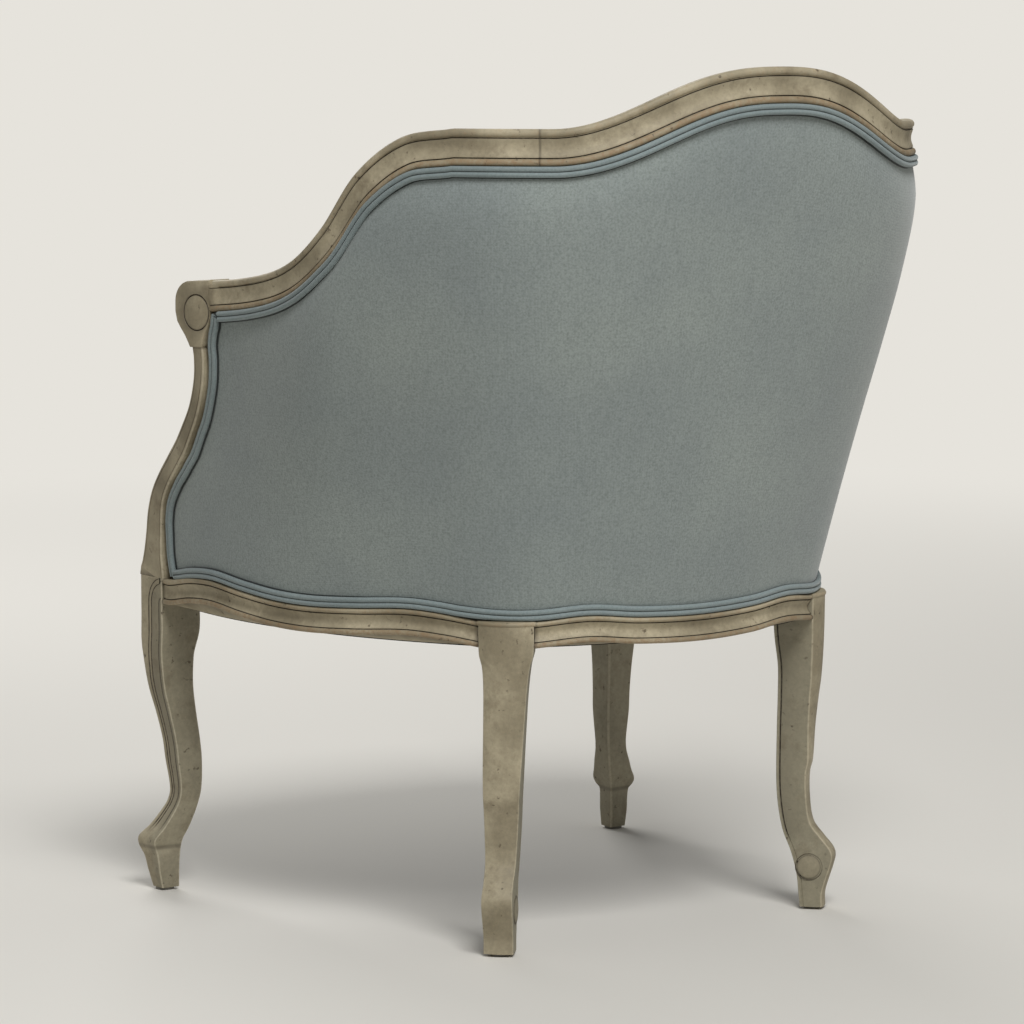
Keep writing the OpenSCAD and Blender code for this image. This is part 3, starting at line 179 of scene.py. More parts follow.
def rail_top(s):
    """Height of the rail's top: a raised cosine over the crest, then the fall to the arm."""
    u = np.minimum(1, np.abs(s) / crest_len)
    crest = (1 + np.cos(np.pi * u ** crest_power)) / 2
    fall = curve(FALL, np.clip((np.abs(s) - fall_start) / (rail_end - fall_start), 0, 1))
    return shoulder_h + (back_h - shoulder_h) * crest - (shoulder_h - arm_h) * fall


def rail_height(s):
    """Height of the rail's section, which slims towards the arms."""
    return mix(rail_h, arm_rail_h, smooth((np.abs(s) - fall_start) / (quarter - fall_start)))


def rail_frame(s):
    """Point on the rail's outer top line, with the directions along, outwards and square to both."""
    step = back_radius * STEP
    point = lambda q: np.concatenate([rail_plan(q), rail_top(q)[..., None]], -1)
    along = unit(point(s + step) - point(s - step))
    out = unit(coords(-along[..., 1], along[..., 0], 0.0))
    return point(s), along, out, np.cross(along, out)


def arc(o, h, r, start, end, count):
    """Points (out, height) of an arc about (o, h) from one angle to another, in degrees."""
    a = np.radians(np.linspace(start, end, count))
    return coords(o + r * np.cos(a), h + r * np.sin(a))


def mark(points, groove=0.0, worn=0.0):
    """Section points with how much glaze lies there and how worn they are, as four columns."""
    points = np.atleast_2d(points)
    return np.column_stack([points, np.full(len(points), groove), np.full(len(points), worn)])


def carved_line(o, h, depth=1.3, half=0.75):
    """Notch in an upright face at height h: its two lips and its dark bottom."""
    shift, sink, glaze, worn = np.transpose(NOTCH)
    return np.column_stack([o - depth * sink, h + half * shift, glaze, worn])


def hollow(o0, h0, o1, h1, depth, count):
    """Cove between two heights: a sine's half wave sunk by a depth under the straight line."""
    u = np.linspace(0, 1, count + 2)[1:-1]
    return mark(coords(mix(o0, o1, u) - depth * np.sin(np.pi * u), mix(h0, h1, u)), 0.0, 0.1)


def rail_section():
    """Closed section of the top rail, inner face downwards and then outer face upwards."""
    inner = np.vstack([
        mark([[-20, -1.6], [-26, -2.9]], 0, 0.4), mark(arc(-27.2, -6.0, 3.0, 90, 180, 5), 0, 0.5),
        mark([[-30.0, -11.0]]), hollow(-29.4, -11.5, -29.4, -30.0, 2.2, 7),
        mark([[-30.0, -31.0], [-30.0, -35.6]]), mark(arc(-28.6, -35.6, 1.4, 180, 270, 3))])
    outer = np.vstack([
        mark([[-6.0, -37.0]], 0.3), mark(arc(-3.4, -33.4, 3.4, -80, 78, 9), 0.05, 1.0),
        carved_line(-2.9, -29.2), hollow(-2.7, -28.2, -3.0, -10.4, 2.3, 14),
        carved_line(-3.1, -9.3), mark(arc(-6.0, -4.5, 4.2, -62, 92, 11), 0, 0.72),
        mark([[-9.5, -0.25], [-13.0, -0.6]], 0, 0.5)])
    return np.vstack([inner, outer])


def surface(name, grid, skin, caps=True, loop=False, sharp=50, **marks):
    """Mesh through closed rings of points in millimetres. caps fills both ends, loop joins the last ring to the
    first instead, and marks are values at the points that the material reads."""
    m, n = grid.shape[:2]
    i, j = np.meshgrid(np.arange(m if loop else m - 1), np.arange(n), indexing="ij")
    k, after = (j + 1) % n, (i + 1) % m
    faces = coords(i * n + j, after * n + j, after * n + k, i * n + k).reshape(-1, 4).tolist()
    if caps:
        faces += [list(range(n)), list(range(m * n - 1, (m - 1) * n - 1, -1))]
    mesh = bpy.data.meshes.new(name)
    mesh.from_pydata((grid.reshape(-1, 3) * MM).tolist(), [], faces)
    for key, values in marks.items():
        layer = mesh.attributes.new(key, "FLOAT", "POINT")
        layer.data.foreach_set("value", np.broadcast_to(values, (m, n)).astype(np.float32).ravel())
    return finished(name, mesh, skin, sharp)


def finished(name, mesh, skin, sharp):
    """Object of a mesh, smooth but for edges sharper than an angle in degrees, with its material."""
    mesh.update()
    mesh.polygons.foreach_set("use_smooth", np.ones(len(mesh.polygons), bool))
    mesh.set_sharp_from_angle(angle=np.radians(sharp))
    mesh.materials.append(skin)
    return shown(name, mesh)


def shown(name, data):
    """Object in the scene for a mesh, a camera or a lamp."""
    o = bpy.data.objects.new(name, data)
    scene.collection.objects.link(o)
    return o


def stands_for(piece, node, body="chair"):
    """The piece rides on the body and replaces that CAD node."""
    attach(piece, body)
    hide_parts(node)
    return piece


def swept(p, out, o, up, h):
    """Rings along a path of points: each section point lies o outwards and h upwards of the path."""
    return p[:, None] + out[:, None] * o[..., None] + up[:, None] * h[..., None]


def rail_grid(s):
    """Rings of the top rail's section at places along it, with its marks. The cove dies out at the arm tip."""
    so, sh, groove, worn = rail_section().T[:, None]
    p, _, out, up = rail_frame(s)
    end = smooth((s - tip_start) / tip_fade)[:, None]
    face = (sh < -3.5) & (sh > -33) & (so > -8)  # the moulded outer face, which levels out towards the tip
    o = np.where(face, mix(so, np.where(groove > 0.9, -1.35, -0.35), end), so)
    groove = groove * np.where((sh > -12) & (so > -8), 1 - 0.6 * end, 1)
    joint = np.clip(1 - np.abs(np.abs(s) - rail_joint)[:, None] / 1.5, 0, 1)
    return (swept(p, out, o, up, sh * rail_height(s)[:, None] / rail_h),
            dict(groove=np.clip(groove + 0.5 * joint, 0, 1), worn=worn))


rings, marks = rail_grid(np.linspace(-rail_joint, rail_joint, 241))
stands_for(surface("crest_rail_carved", rings, paint, **marks), "crest_rail")

# Arm rails with their rounded tips
# Each arm rail goes on from the crest rail and ends in a flat knuckle with a round boss. The mouldings die
# against the knuckle, and a carved ring, dark with glaze, runs round the boss.
boss_s = rail_end - boss_r * 1.66
boss_plan = rail_plan(boss_s)
boss_z = float(rail_top(boss_s)) - boss_r * 1.61
TIP_REAR = [[0.34, -1.8], [0.42, -1.5], [0.58, -1.1], [0.84, -0.65], [0.97, -0.2], [1.0, 0.1], [1.0, 1.72]]
TIP_FRONT = [[-1.59, 0], [-1.46, -0.5], [-1.2, -0.85], [-0.9, -1.2], [-0.6, -1.65], [-0.53, -1.8]]
# Rings of the boss: radius, height, glaze and wear
BOSS = np.array([[0.01, 1.9, 0, 0.2], [5, 1.8, 0, 0.2], [10, 1.5, 0, 0.2], [14, 1.2, 0, 0.3], [17, 0.7, 0.05, 0.6],
                 [17.9, 0.3, 0.3, 0.3], [18.4, -0.6, 1, 0], [18.8, -0.9, 1, 0], [19.2, -0.6, 1, 0],
                 [19.8, 0.4, 0.25, 0.3]])


def flipped(mesh, axis):
    """Turns a mesh into its mirror image along an axis, with its faces turned back outwards."""
    mesh.transform(np.diag(np.where(np.arange(4) == axis, -1.0, 1.0)).tolist())
    mesh.flip_normals()
    return mesh


def mirrored(piece, name):
    """Mirror image of a piece on the chair's other side."""
    return shown(name, flipped(piece.data.copy(), 0))


def pair(left, node):
    """Puts the mirror image of a left piece and the piece itself in the places of their two CAD nodes."""
    right = mirrored(left, left.name.replace("left", "right"))
    stands_for(right, node.replace("left", "right"))
    stands_for(left, node)


def joined(name, pieces):
    """One object of several whose meshes belong together."""
    with bpy.context.temp_override(active_object=pieces[0], selected_editable_objects=pieces, object=pieces[0],
                                   selected_objects=pieces):
        bpy.ops.object.join()
    pieces[0].name = pieces[0].data.name = name
    return pieces[0]


def polar(line, turns):
    """Distance from the origin to a closed line in the plane at each of some angles."""
    return np.interp(turns, np.arctan2(line[:, 1], line[:, 0]), np.hypot(*line.T), period=2 * np.pi)


def knuckle_grid():
    """Rings of the arm tip about its boss: circles over the boss, then its outline, bevelled, and its back."""
    line = np.vstack([TIP_REAR, arc(-0.52, 0.54, 1.07, 90, 180, 10), TIP_FRONT, TIP_REAR[:1]])
    share = np.linspace(0, 1, 12, endpoint=False)[None, :, None]
    turn = np.linspace(-np.pi, np.pi, 180, endpoint=False)
    reach = polar((line[:-1, None] * (1 - share) + line[1:, None] * share).reshape(-1, 2), turn)
    y, z = reach * np.cos(turn), reach * np.sin(turn)
    # The bevel leaves out the rear edge, where the arm rail's face runs on
    rear = smooth((y - 0.86) / 0.1) * smooth((z + 0.3) / 0.15) * smooth((1.7 - z) / 0.12)
    reach = reach * boss_r
    heights_radii = [(h, r) for r, h in BOSS[:, :2]]
    for inset, h in zip((2.4, 1.2, 0.4, 0), (0.4, 0.3, -0.3, -1.4)):
        heights_radii.append((mix(h, -0.35, rear), np.maximum(reach - inset, 19.9 + (2.4 - inset) * 0.2)))
    heights_radii += [(1.4 - rail_w, reach)] + [(h - rail_w, share * reach) for share, h in
                                                ((0.96, 0), (0.5, -0.4), (0.001, -0.4))]
    rings = [coords(h, r * np.cos(turn), r * np.sin(turn)) for h, r in heights_radii]
    return (np.array(rings), np.append(BOSS[:, 2], np.zeros(8))[:, None],
            np.append(BOSS[:, 3], [0.2, 0.5, 0.9, 0.5, 0.2, 0, 0, 0])[:, None])


def arm_rail():
    """Arm rail of the left side, from its joint with the crest rail to its knuckle."""
    rings, marks = rail_grid(np.linspace(rail_joint + joint_gap, boss_s - boss_r * 0.9, 241))
    rail = surface("rail", rings, paint, **marks)
    local, groove, worn = knuckle_grid()
    out = rail_frame(np.array([boss_s]))[2][0]
    grid = np.array([*boss_plan, boss_z]) + local @ np.array([out, [-out[1], out[0], 0], [0, 0, 1]])
    tip = surface("tip", grid[:, ::-1], paint, False, groove=groove, worn=worn)
    return joined("arm_rail_left_carved", [rail, tip])


pair(arm_rail(), "arm_rail_left")

# Seat frame plan
# Four moulded beech rails are tenoned into the legs. The side and rear rails bow outwards and their faces
# wave. Legs, rails and upholstery all follow these plan lines, in millimetres.
front_span, rear_span, foot_depth, feet_y = 620, 414.6, 494.6, -76
leg_w, front_block_w, front_block_d, front_block_out, rear_block_w = 50, 50, 46, 18, 58
seat_rail_top, seat_rail_h, seat_rail_w, seat_rail_rise = 347, 28, 28, 16
rail_wave, side_bow, rear_bow, front_bow = 10, 46, 39, 31
cover_t, lining_t, soft_gap, seat_inset = 2.4, 1.2, 0.3, 7
glide_h, leg_shift = 3, 6.5
front_foot = np.array([front_span / 2, feet_y - foot_depth / 2])
rear_foot = np.array([rear_span / 2, feet_y + foot_depth / 2])
diag = np.sqrt([0.5, 0.5])
rear_across = np.array([-diag[0], diag[1]])
block_low = front_foot + [front_block_out - front_block_w, -front_block_out]
block_high = front_foot + [front_block_out, front_block_d - front_block_out]
side_front = block_high + [-5, joint_gap]
side_rear = rear_foot + diag * 6 - rear_across * (rear_block_w / 2 - leg_shift + joint_gap)
rear_end = rear_foot + diag * 6 + rear_across * (rear_block_w / 2 + leg_shift + joint_gap)
front_end = np.array([block_low[0] - joint_gap, block_low[1] + 5])
SIDE_WAVE = [[0, 0.3], [0.03, 0.3], [0.12, 1], [0.22, 1.25], [0.34, 0.72], [0.46, 0.25], [0.57, 0.15], [0.7, 0.42],
             [0.83, 0.8], [0.92, 0.55], [1, 0]]
REAR_WAVE = [[0, 0], [0.15, 0.46], [0.3, 0], [0.5, -0.22], [0.7, 0], [0.85, 0.46], [1, 0]]
FRONT_WAVE = [[0, 0.3], [0.15, 1], [0.32, 0.6], [0.5, 0.1], [0.68, 0.6], [0.85, 1], [1, 0.3]]
front_leg_top = seat_rail_top + rail_wave * FRONT_WAVE[0][1]


def bow(a, b, high, u):
    """Parabola between two plan points that stands off their chord by a height."""
    d = b - a
    normal = np.array([d[1], -d[0]]) / np.hypot(*d)
    u = np.asarray(u, float)[..., None]
    return a + u * d + normal * high * 4 * u * (1 - u)


def side_plan(u):
    """Plan of a side rail's outer face, from the front leg to the rear leg."""
    return bow(side_front, side_rear, side_bow, u)


def rear_plan(u):
    """Plan of the rear rail's outer face, from the left rear leg to the right one."""
    return bow(rear_end, rear_end * [-1, 1], rear_bow, u)


def front_plan(u):
    """Plan of the front rail's outer face, from the left front leg to the right one."""
    return bow(front_end, front_end * [-1, 1], -front_bow, u)


def wave(shares, u):
    """How far a seat rail's moulding rises above its level at the legs."""
    return rail_wave * curve(shares, np.clip(u, 0, 1))


def heading(line, u):
    """Direction along a line at a share of its length."""
    return unit(line(u + STEP) - line(u - STEP))


# Seat rails
# Each is moulded like the top rail: bead, cove and lower bead, with a plain hidden top that carries the
# upholstery. Brown glaze lies in both carved lines and where a rail meets a leg.
out_at_front, out_at_rear = 4.7, -3.4  # ends moved to the faces of the legs
turn_share, level_share, stain_share = 0.14, 0.03, 0.009
dust_z = seat_rail_top - seat_rail_h + 1


def seat_section():
    """Closed section of a seat rail, from its hidden inner top down, under and up the moulded face."""
    return np.vstack([
        mark([[-28, 16], [-28, -10], [-27, -27], [-14, -27.4]]),
        mark([[-5, -28.0]], 0.5), mark(arc(-2.6, -25.2, 2.6, -78, 80, 7), 0.05, 1.0),
        carved_line(-2.2, -21.9, 1.2, 0.65), hollow(-2.0, -21.0, -1.9, -7.0, 3.4, 14),
        carved_line(-1.9, -6.2, 1.2, 0.65), mark(arc(-2.3, -3.0, 2.4, -60, 85, 7), 0, 0.8),
        mark([[-4, -0.3], [-8, -0.1], [-14.9, -0.1], [-15, 16]])])


def seat_rail(name, plan, shares, turned_to, out_by, low_share=0.0):
    """Rail carried along its plan line, its section turned at both ends to meet the legs' faces.

    out_by moves each end outwards. The cove of an end that moves out comes up level with the leg."""
    so, sh, groove, worn = seat_section().T[:, None]
    u = np.linspace(0, 1, 181)[::-1]
    d = heading(plan, u)
    normal = coords(d[:, 1], -d[:, 0])
    near, far = (smooth(1 - w / turn_share)[:, None] for w in (u, 1 - u))
    out = unit(normal + (np.array(turned_to[0]) - normal) * near + (np.array(turned_to[1]) - normal) * far)
    k = 1 / np.sum(out * normal, -1, keepdims=True)
    line = plan(u) + out * (out_by[0] * near ** 2 + out_by[1] * far ** 2)
    level = sum(smooth(1 - w / level_share) * (by > 0) for w, by in zip((u, 1 - u), out_by))[:, None]
    cove = (sh < -6.9) & (sh > -21.1) & (so > -8)  # the hollow between the carved lines
    o = so * k + np.where(cove, -2.0 - so, 0.0) * level
    top = seat_rail_top + wave(shares, u)[:, None]
    hidden = np.where(u[:, None] < low_share, top - 1.5, seat_rail_top + seat_rail_rise)
    z = np.where(sh == seat_rail_rise, hidden, top + sh)
    z = np.where((so <= -14) & (sh < -20) & (sh > -27.9), dust_z, z)
    grid = np.concatenate([line[:, None] + out[:, None] * o[..., None], z[..., None]], -1)
    stain = 0.55 * np.clip(1 - np.minimum(u, 1 - u)[:, None] / stain_share, 0, 1) ** 0.5
    return surface(name, grid, paint, groove=np.clip(groove + stain, 0, 1), worn=worn)


rail = seat_rail("seat_rail_left_carved", side_plan, SIDE_WAVE, ([1, 0], diag), (out_at_front, out_at_rear), 0.05)
pair(rail, "seat_rail_left")
rail = seat_rail("seat_rail_rear_carved", rear_plan, REAR_WAVE, (diag, rear_across), (out_at_rear, out_at_rear))
stands_for(rail, "seat_rail_rear")
rail = seat_rail("seat_rail_front_carved", lambda u: front_plan(u) * [1, -1], FRONT_WAVE, ([0, 1], [0, 1]),
                 (out_at_front, out_at_front))
flipped(rail.data, 1)
stands_for(rail, "seat_rail_front")

# Front legs
# Cabriole legs sawn from one block: square in section, with a knee, a slim ankle and a scrolled toe over a
# short peg. Three carved lines run on from the seat rails' mouldings, turn, and go down both outer faces.
FRONT_OUT = [[0, 0.3], [0.057, 0.42], [0.1, 0.5], [0.132, 0.62], [0.16, 0.62], [0.198, 0.36], [0.238, 0.14],
             [0.278, -0.04], [0.318, -0.1], [0.413, 0], [0.479, 0.06], [0.562, 0.2], [0.642, 0.36], [0.725, 0.46],
             [0.808, 0.52], [1, 0.52]]
FRONT_IN = [[0, -0.34], [0.089, -0.36], [0.149, -0.42], [0.195, -0.58], [0.261, -0.76], [0.318, -0.86], [0.41, -0.88],
            [0.479, -0.84], [0.562, -0.76], [0.642, -0.7], [0.705, -0.7], [0.771, -0.74], [0.845, -0.86], [1, -1.1]]
FRONT_SIDE = [[0, 0.91], [0.06, 0.86], [0.1, 0.78], [0.128, 0.72], [0.14, 0.84], [0.16, 0.93], [0.2, 0.97], [0.24, 1],
              [1, 1]]
# Carved lines of a front leg: radius of the turn, share of the face's width further down, and depth
LEG_LINES = [[6.1, 0.2, 0.5], [21.8, 0.56, 0.9], [27.4, 0.71, 0.9]]
arris_r = 6  # corners with a smaller round are arrises, which get a painted highlight


def outline(corners, radii, notches=()):
    """Closed section for each station, rounded at its corners, with carved lines.

    corners is (stations, corners, 2). Each edge runs from one corner's round to the next one's, and a notch
    (edge, millimetres from its start, or from its end if negative, depth, half width) sinks three points in it.
    Place and depth may change from station to station. Also gives how dark each point is, and which lie on
    an arris."""
    points, dark, edges = [], [], []
    count = corners.shape[1]
    for k in range(count):
        a, b, c = (corners[:, (k + q) % count] for q in range(3))
        e, f = unit(b - a), unit(c - b)
        length = np.linalg.norm(b - a, axis=-1, keepdims=True)
        inward = coords(-e[:, 1], e[:, 0])
        for _, place, depth, half in [notch for notch in notches if notch[0] == k]:
            place, depth = np.broadcast_to(place, length.shape), np.broadcast_to(depth, length.shape)
            d = np.minimum(abs(place), length * 0.8)
            d = np.where(place > 0, d, length - d)
            for shift, sink, weight in ((-1, 0, 0.2), (-0.45, 0.8, 1), (0, 1, 1), (0.45, 0.8, 1), (1, 0, 0.2)):
                points.append(a + e * (d + shift * half) + inward * depth * sink)
                dark.append(weight * np.minimum(1, depth[:, 0] / 0.7))
                edges.append(0.0)
        radius = radii[(k + 1) % count]
        r = np.minimum(radius, length * 0.3)
        for w in (0, 0.25, 0.5, 0.75, 1):
            points.append(b - e * r * (1 - w) ** 2 + f * r * w ** 2)
            dark.append(np.zeros(len(b)))
            edges.append(float(0 < w < 1 and radius < arris_r))
    return np.stack(points, 1), np.stack(dark, 1), np.array(edges)


def diagonal_ring(foot, direction, points, z):
    """Section points along a leg's diagonal, placed over its foot at each station's height."""
    x = foot[0] + direction[0] * points[..., 0] - direction[1] * points[..., 1]
    y = foot[1] + direction[1] * points[..., 0] + direction[0] * points[..., 1]
    return coords(x, y, z[:, None])


def front_leg():
    """Left front leg: its diagonal section turns into the upright block that the rails meet."""
    u = np.concatenate([np.linspace(0, 0.9, 141)[:-1], np.linspace(0.9, 1, 81)])
    o, i = leg_w * curve(FRONT_OUT, u), leg_w * curve(FRONT_IN, u)
    h, m, w = (o - i) / 2, (o + i) / 2, curve(FRONT_SIDE, u)
    leg = np.stack([coords(*q) for q in ((m - h, 0.0), (m, -h * w), (m + h, 0.0), (m, h * w))], 1)
    block = np.array([[block_low[0], block_high[1]], block_low, [block_high[0], block_low[1]], block_high]) - front_foot
    block = coords((block[:, 0] - block[:, 1]) * diag[0], (block[:, 0] + block[:, 1]) * diag[0])
    corners = mix(leg, block[None], smooth((u - 0.74) / 0.14)[:, None, None])
    z = mix(glide_h, front_leg_top, u)
    over = np.maximum(z - (front_leg_top - seat_rail_h), 0)
    width = np.linalg.norm(corners[:, 3] - corners[:, 2], axis=-1)
    lines = []
    for r, share, sink in LEG_LINES:
        place = np.minimum(np.sqrt(np.maximum(r * r - over ** 2, 9)), share * width)[:, None]
        depth = (sink * (over < r) * smooth((u - 0.17) / 0.06))[:, None]
        lines = [(2, -place, depth, 1.3)] + lines + [(1, place, depth, 1.3)]
    points, dark, edges = outline(corners, [2.5, 1.6, 5.0, 1.6], lines)
    toe = 0.5 * np.exp(-((u - 0.132) / 0.006) ** 2)[:, None]
    side = np.linspace(0, 1, points.shape[1])  # round the section: the inner faces get painted shade
    # The arrises get a painted highlight.
    return surface("front_leg_left_carved", diagonal_ring(front_foot, [diag[0], -diag[1]], points, z), paint,
                   groove=np.clip(dark + toe, 0, 1), worn=0.5, arris=edges,
                   cool=np.where((side > 0.7) | (side < 0.2), 0.6, 0.1))


pair(front_leg(), "front_leg_left")

# Rear legs
# They are set on the diagonal, with a rounded outer face, flat sides that have a carved line along the outer
# edge, a bead over the top that joins the seat rails' beads, and a round boss on both sides of the toe.
REAR_OUT = [[0, 0.29], [0.043, 0.29], [0.086, 0.37], [0.132, 0.47], [0.163, 0.51], [0.186, 0.45], [0.218, 0.27],
            [0.266, 0.03], [0.347, -0.06], [0.424, -0.06], [0.461, 0], [0.567, 0.05], [0.65, 0.11], [0.728, 0.18],
            [0.808, 0.22], [0.888, 0.24], [1, 0.25]]
REAR_IN = [[0, -0.24], [0.043, -0.27], [0.103, -0.31], [0.172, -0.43], [0.244, -0.62], [0.321, -0.72], [0.404, -0.76],
           [0.567, -0.75], [0.685, -0.73], [0.768, -0.73], [0.862, -0.8], [1, -0.82]]
REAR_WIDTH = [[0, 0.54], [0.046, 0.54], [0.16, 0.56], [0.218, 0.54], [0.37, 0.61], [0.464, 0.655], [0.564, 0.7],
              [0.676, 0.74], [0.794, 0.79], [0.86, 0.86], [0.9, 0.98], [1, 1]]
toe_boss_z, toe_boss_in = 47, -2
# Rings of a toe boss: radius, height and glaze
TOE_BOSS = [[0.01, 1.1, 0], [6, 1.0, 0], [11, 0.7, 0.1], [12.6, 0.3, 0.4], [13.0, -0.6, 1], [13.4, -0.9, 1],
            [13.8, -0.6, 1], [14.4, 0.2, 0.5], [15.0, -0.4, 0.8], [15.0, -6.0, 1], [0.01, -6.0, 0]]


def rear_leg():
    """Left rear leg with its top bead and its two toe bosses."""
    u = np.linspace(0, 1, 161)
    o, i = leg_w * curve(REAR_OUT, u), leg_w * curve(REAR_IN, u)
    w = rear_block_w * curve(REAR_WIDTH, u) / 2
    shift = leg_shift * smooth((u - 0.4) / 0.55)
    upper = smooth((u - 0.35) / 0.5)
    e, k = leg_w * mix(0.05, 0.2, upper), w * mix(0.96, 0.84, upper)
    face = [(o - e * q ** 2, w * q) for q in (-1, -0.66, -0.33, 0, 0.33, 0.66, 1)]
    corners = np.stack([coords(*q) for q in [(i, k), (i, -k)] + face], 1)
    corners[..., 1] += shift[:, None]
    points, dark, edges = outline(corners, [2.2, 2.2, 1.4] + [arris_r] * 5 + [1.4],
                                  [(1, 4.2, 0.9, 0.9), (8, -4.2, 0.9, 0.9)])
    grid = diagonal_ring(rear_foot, diag, points, mix(glide_h, seat_rail_top, u))
    fade = (smooth((u - 0.2) / 0.05) * (1 - smooth((u - 0.93) / 0.04)))[:, None]
    # The flat sides get painted shade, a greyer paint.
    side = points[..., 0] < (o - e - 1.0)[:, None]
    # The arrises get a painted highlight.
    pieces = [surface("leg", grid, paint, groove=dark * fade, worn=0.5, arris=edges * 0.7,
                      cool=np.where(side, 0.75, 0.0))]
    q = np.linspace(1.05, -1.05, 61)[:, None]
    line = rear_foot + diag * (o[-1] - e[-1] * q ** 2 + 0.7) + rear_across * (shift[-1] + w[-1] * q)
    so, sh, groove, worn = np.vstack([
        mark([[-8, -5.6]], 1), mark(arc(-2.3, -2.9, 2.5, -100, 90, 11), 0, 0.8), mark([[-8, -0.2]])]).T[:, None]
    groove[:, 1:3] = 1, 0.6
    z = np.broadcast_to(seat_rail_top + 0.3 + sh, (len(q), sh.size))
    bead = np.concatenate([line[:, None] + diag * so[..., None], z[..., None]], -1)
    pieces.append(surface("bead", bead, paint, groove=groove, worn=worn))
    thick = float(rear_block_w * curve(REAR_WIDTH, (toe_boss_z - glide_h) / (seat_rail_top - glide_h)))
    centre = np.array([*(rear_foot + diag * toe_boss_in), toe_boss_z])
    turn = np.linspace(0, 2 * np.pi, 72, endpoint=False)[:, None]
    rim = np.cos(turn) * [*diag, 0.0] + np.sin(turn) * [0, 0, 1]
    radius, lift, groove = np.transpose(TOE_BOSS)[:, :, None]
    # The toe bosses on the sides get some painted shade too.
    for sign in (1, -1):
        across = np.array([*(rear_across * sign), 0.0])
        disc = centre + across * (thick / 2 + lift[..., None]) + radius[..., None] * rim
        pieces.append(surface("boss", disc[:, ::-sign], paint, groove=groove, worn=0.5, cool=0.4, caps=False))
    return joined("rear_leg_left_carved", pieces)


pair(rear_leg(), "rear_leg_left")

# Arm supports
# Swept posts between the arm knuckle and the front leg. They lean forwards as they go down and widen at the
# foot. A carved line follows each edge of the outer face.
support_lean, support_foot_w, support_t, support_foot_out = 151, 50, 30, 4.6
support_top = np.array([boss_plan[0] - 1.4, boss_plan[1] - boss_r * 0.1, boss_z - boss_r * 1.8])
support_foot = np.array([side_front[0], support_top[1] - support_lean, front_leg_top + joint_gap])
LEAN = [[0, 0], [0.04, 0.021], [0.115, 0.049], [0.19, 0.078], [0.267, 0.109], [0.344, 0.172], [0.42, 0.284],
        [0.5, 0.438], [0.573, 0.581], [0.65, 0.705], [0.725, 0.816], [0.8, 0.899], [0.878, 0.962], [0.954, 0.995],
        [1, 1]]
WIDTH = [[0, 1], [0.04, 0.86], [0.12, 0.68], [0.27, 0.57], [0.42, 0.45], [0.57, 0.43], [0.72, 0.38], [0.87, 0.37],
         [1, 0.38]]


def support_point(u):
    """Middle of the support's outer face at a share of its height."""
    p = support_foot + (support_top - support_foot) * np.asarray(u, float)[..., None]
    p[..., 1] = mix(support_foot[1], support_top[1], curve(LEAN, u))
    return p


def arm_support():
    """Left arm support, its section square to its line but level at both ends."""
    u = np.linspace(0, 1, 121)
    up = heading(support_point, u)
    up[[0, -1]] = [0, 0, 1]
    n = unit(np.array([1.0, 0.02, 0.0]))
    b = unit(np.cross(up, n))
    h = support_foot_w * curve(WIDTH, u) / 2
    corners = np.stack([coords(*q) for q in ((-support_t, h), (-support_t, -h), (0.0, -h), (0.0, h))], 1)
    points, dark, edges = outline(corners, [2.5, 2.5, 2.2, 2.2], [(2, 3.4, 0.8, 0.9), (2, -3.4, 0.8, 0.9)])
    p = support_point(u) + np.array([support_foot_out, 0, 0]) * (1 - smooth(u / 0.35))[:, None]
    fade = (smooth(u / 0.06) * (1 - smooth((u - 0.9) / 0.08)))[:, None]
    joint = 0.6 * np.clip(1 - np.minimum(u, 1 - u) / 0.008, 0, 1)[:, None]
    # The arrises of the outer face get a painted highlight.
    return surface("arm_support_left_carved", swept(p, n[None], points[..., 0], b, points[..., 1]), paint,
                   groove=np.clip(dark * fade * 0.6 + joint, 0, 1), worn=0.6, arris=edges * 0.8)


pair(arm_support(), "arm_support_left")

# Shell of the upholstery
# The outside cover, its lining and the padding all follow one surface, from the seat rails up to the top
# rail. A place t runs from 0 at the middle of the back to 1 at the arm support, and v from foot to head.
cover_inset, cover_full, edge_gap = 4.5, 18, 2
FULL = [[0, 0], [0.22, 0.22], [0.42, 0.5], [0.58, 0.78], [0.74, 0.97], [0.9, 0.82], [1, 0]]
corner_from, corner_to, rear_stop, side_stop = 0.34, 0.46, 0.07, 0.95
EDGE_REAR = [[0.37, -1.8], [0.44, -1.5], [0.6, -1.1], [0.86, -0.65], [1.02, -0.2], [1.2, -0.05], [1.2, 1.76]]
shell_front = quarter - (boss_plan[1] + boss_r * 0.55 - back_c)
head_shift = boss_r * (1.2 - 0.55) + edge_gap


def rail_under(s):
    """Height of the rail's underside over the plan place s."""
    q = s
    for _ in range(4):
        q = s - rail_height(q) * rail_frame(q)[1][..., 2]
    return rail_top(q) - rail_height(q) * rail_frame(q)[3][..., 2]


def seat_shares(t):
    """Shares along the rear rail, round the leg and along the side rail at a place."""
    w = (t - corner_from) / (corner_to - corner_from)
    return mix(0.5, rear_stop, t / corner_from), w, mix(side_stop, 0.0, (t - corner_to) / (1 - corner_to))


def seat_part(t, rear, turn, side):
    """The rear rail's, the leg's or the side rail's value, whichever a place lies over."""
    return np.where(t < corner_from, rear, np.where(t < corner_to, turn, side))


def seat_line(t):
    """Plan line of the seat rails' outer faces from the middle of the back, round a leg, to the support."""
    p, q = rear_plan(rear_stop), side_plan(side_stop)
    d, e = heading(rear_plan, rear_stop), heading(side_plan, side_stop)
    cross = lambda a, b: a[0] * b[1] - a[1] * b[0]
    r = p + d * cross(q - p, e) / cross(d, e)
    rear, w, side = seat_shares(t)
    w = w[..., None]
    return seat_part(t[..., None], rear_plan(rear), p * (1 - w) ** 2 + r * 2 * w * (1 - w) + q * w * w, side_plan(side))


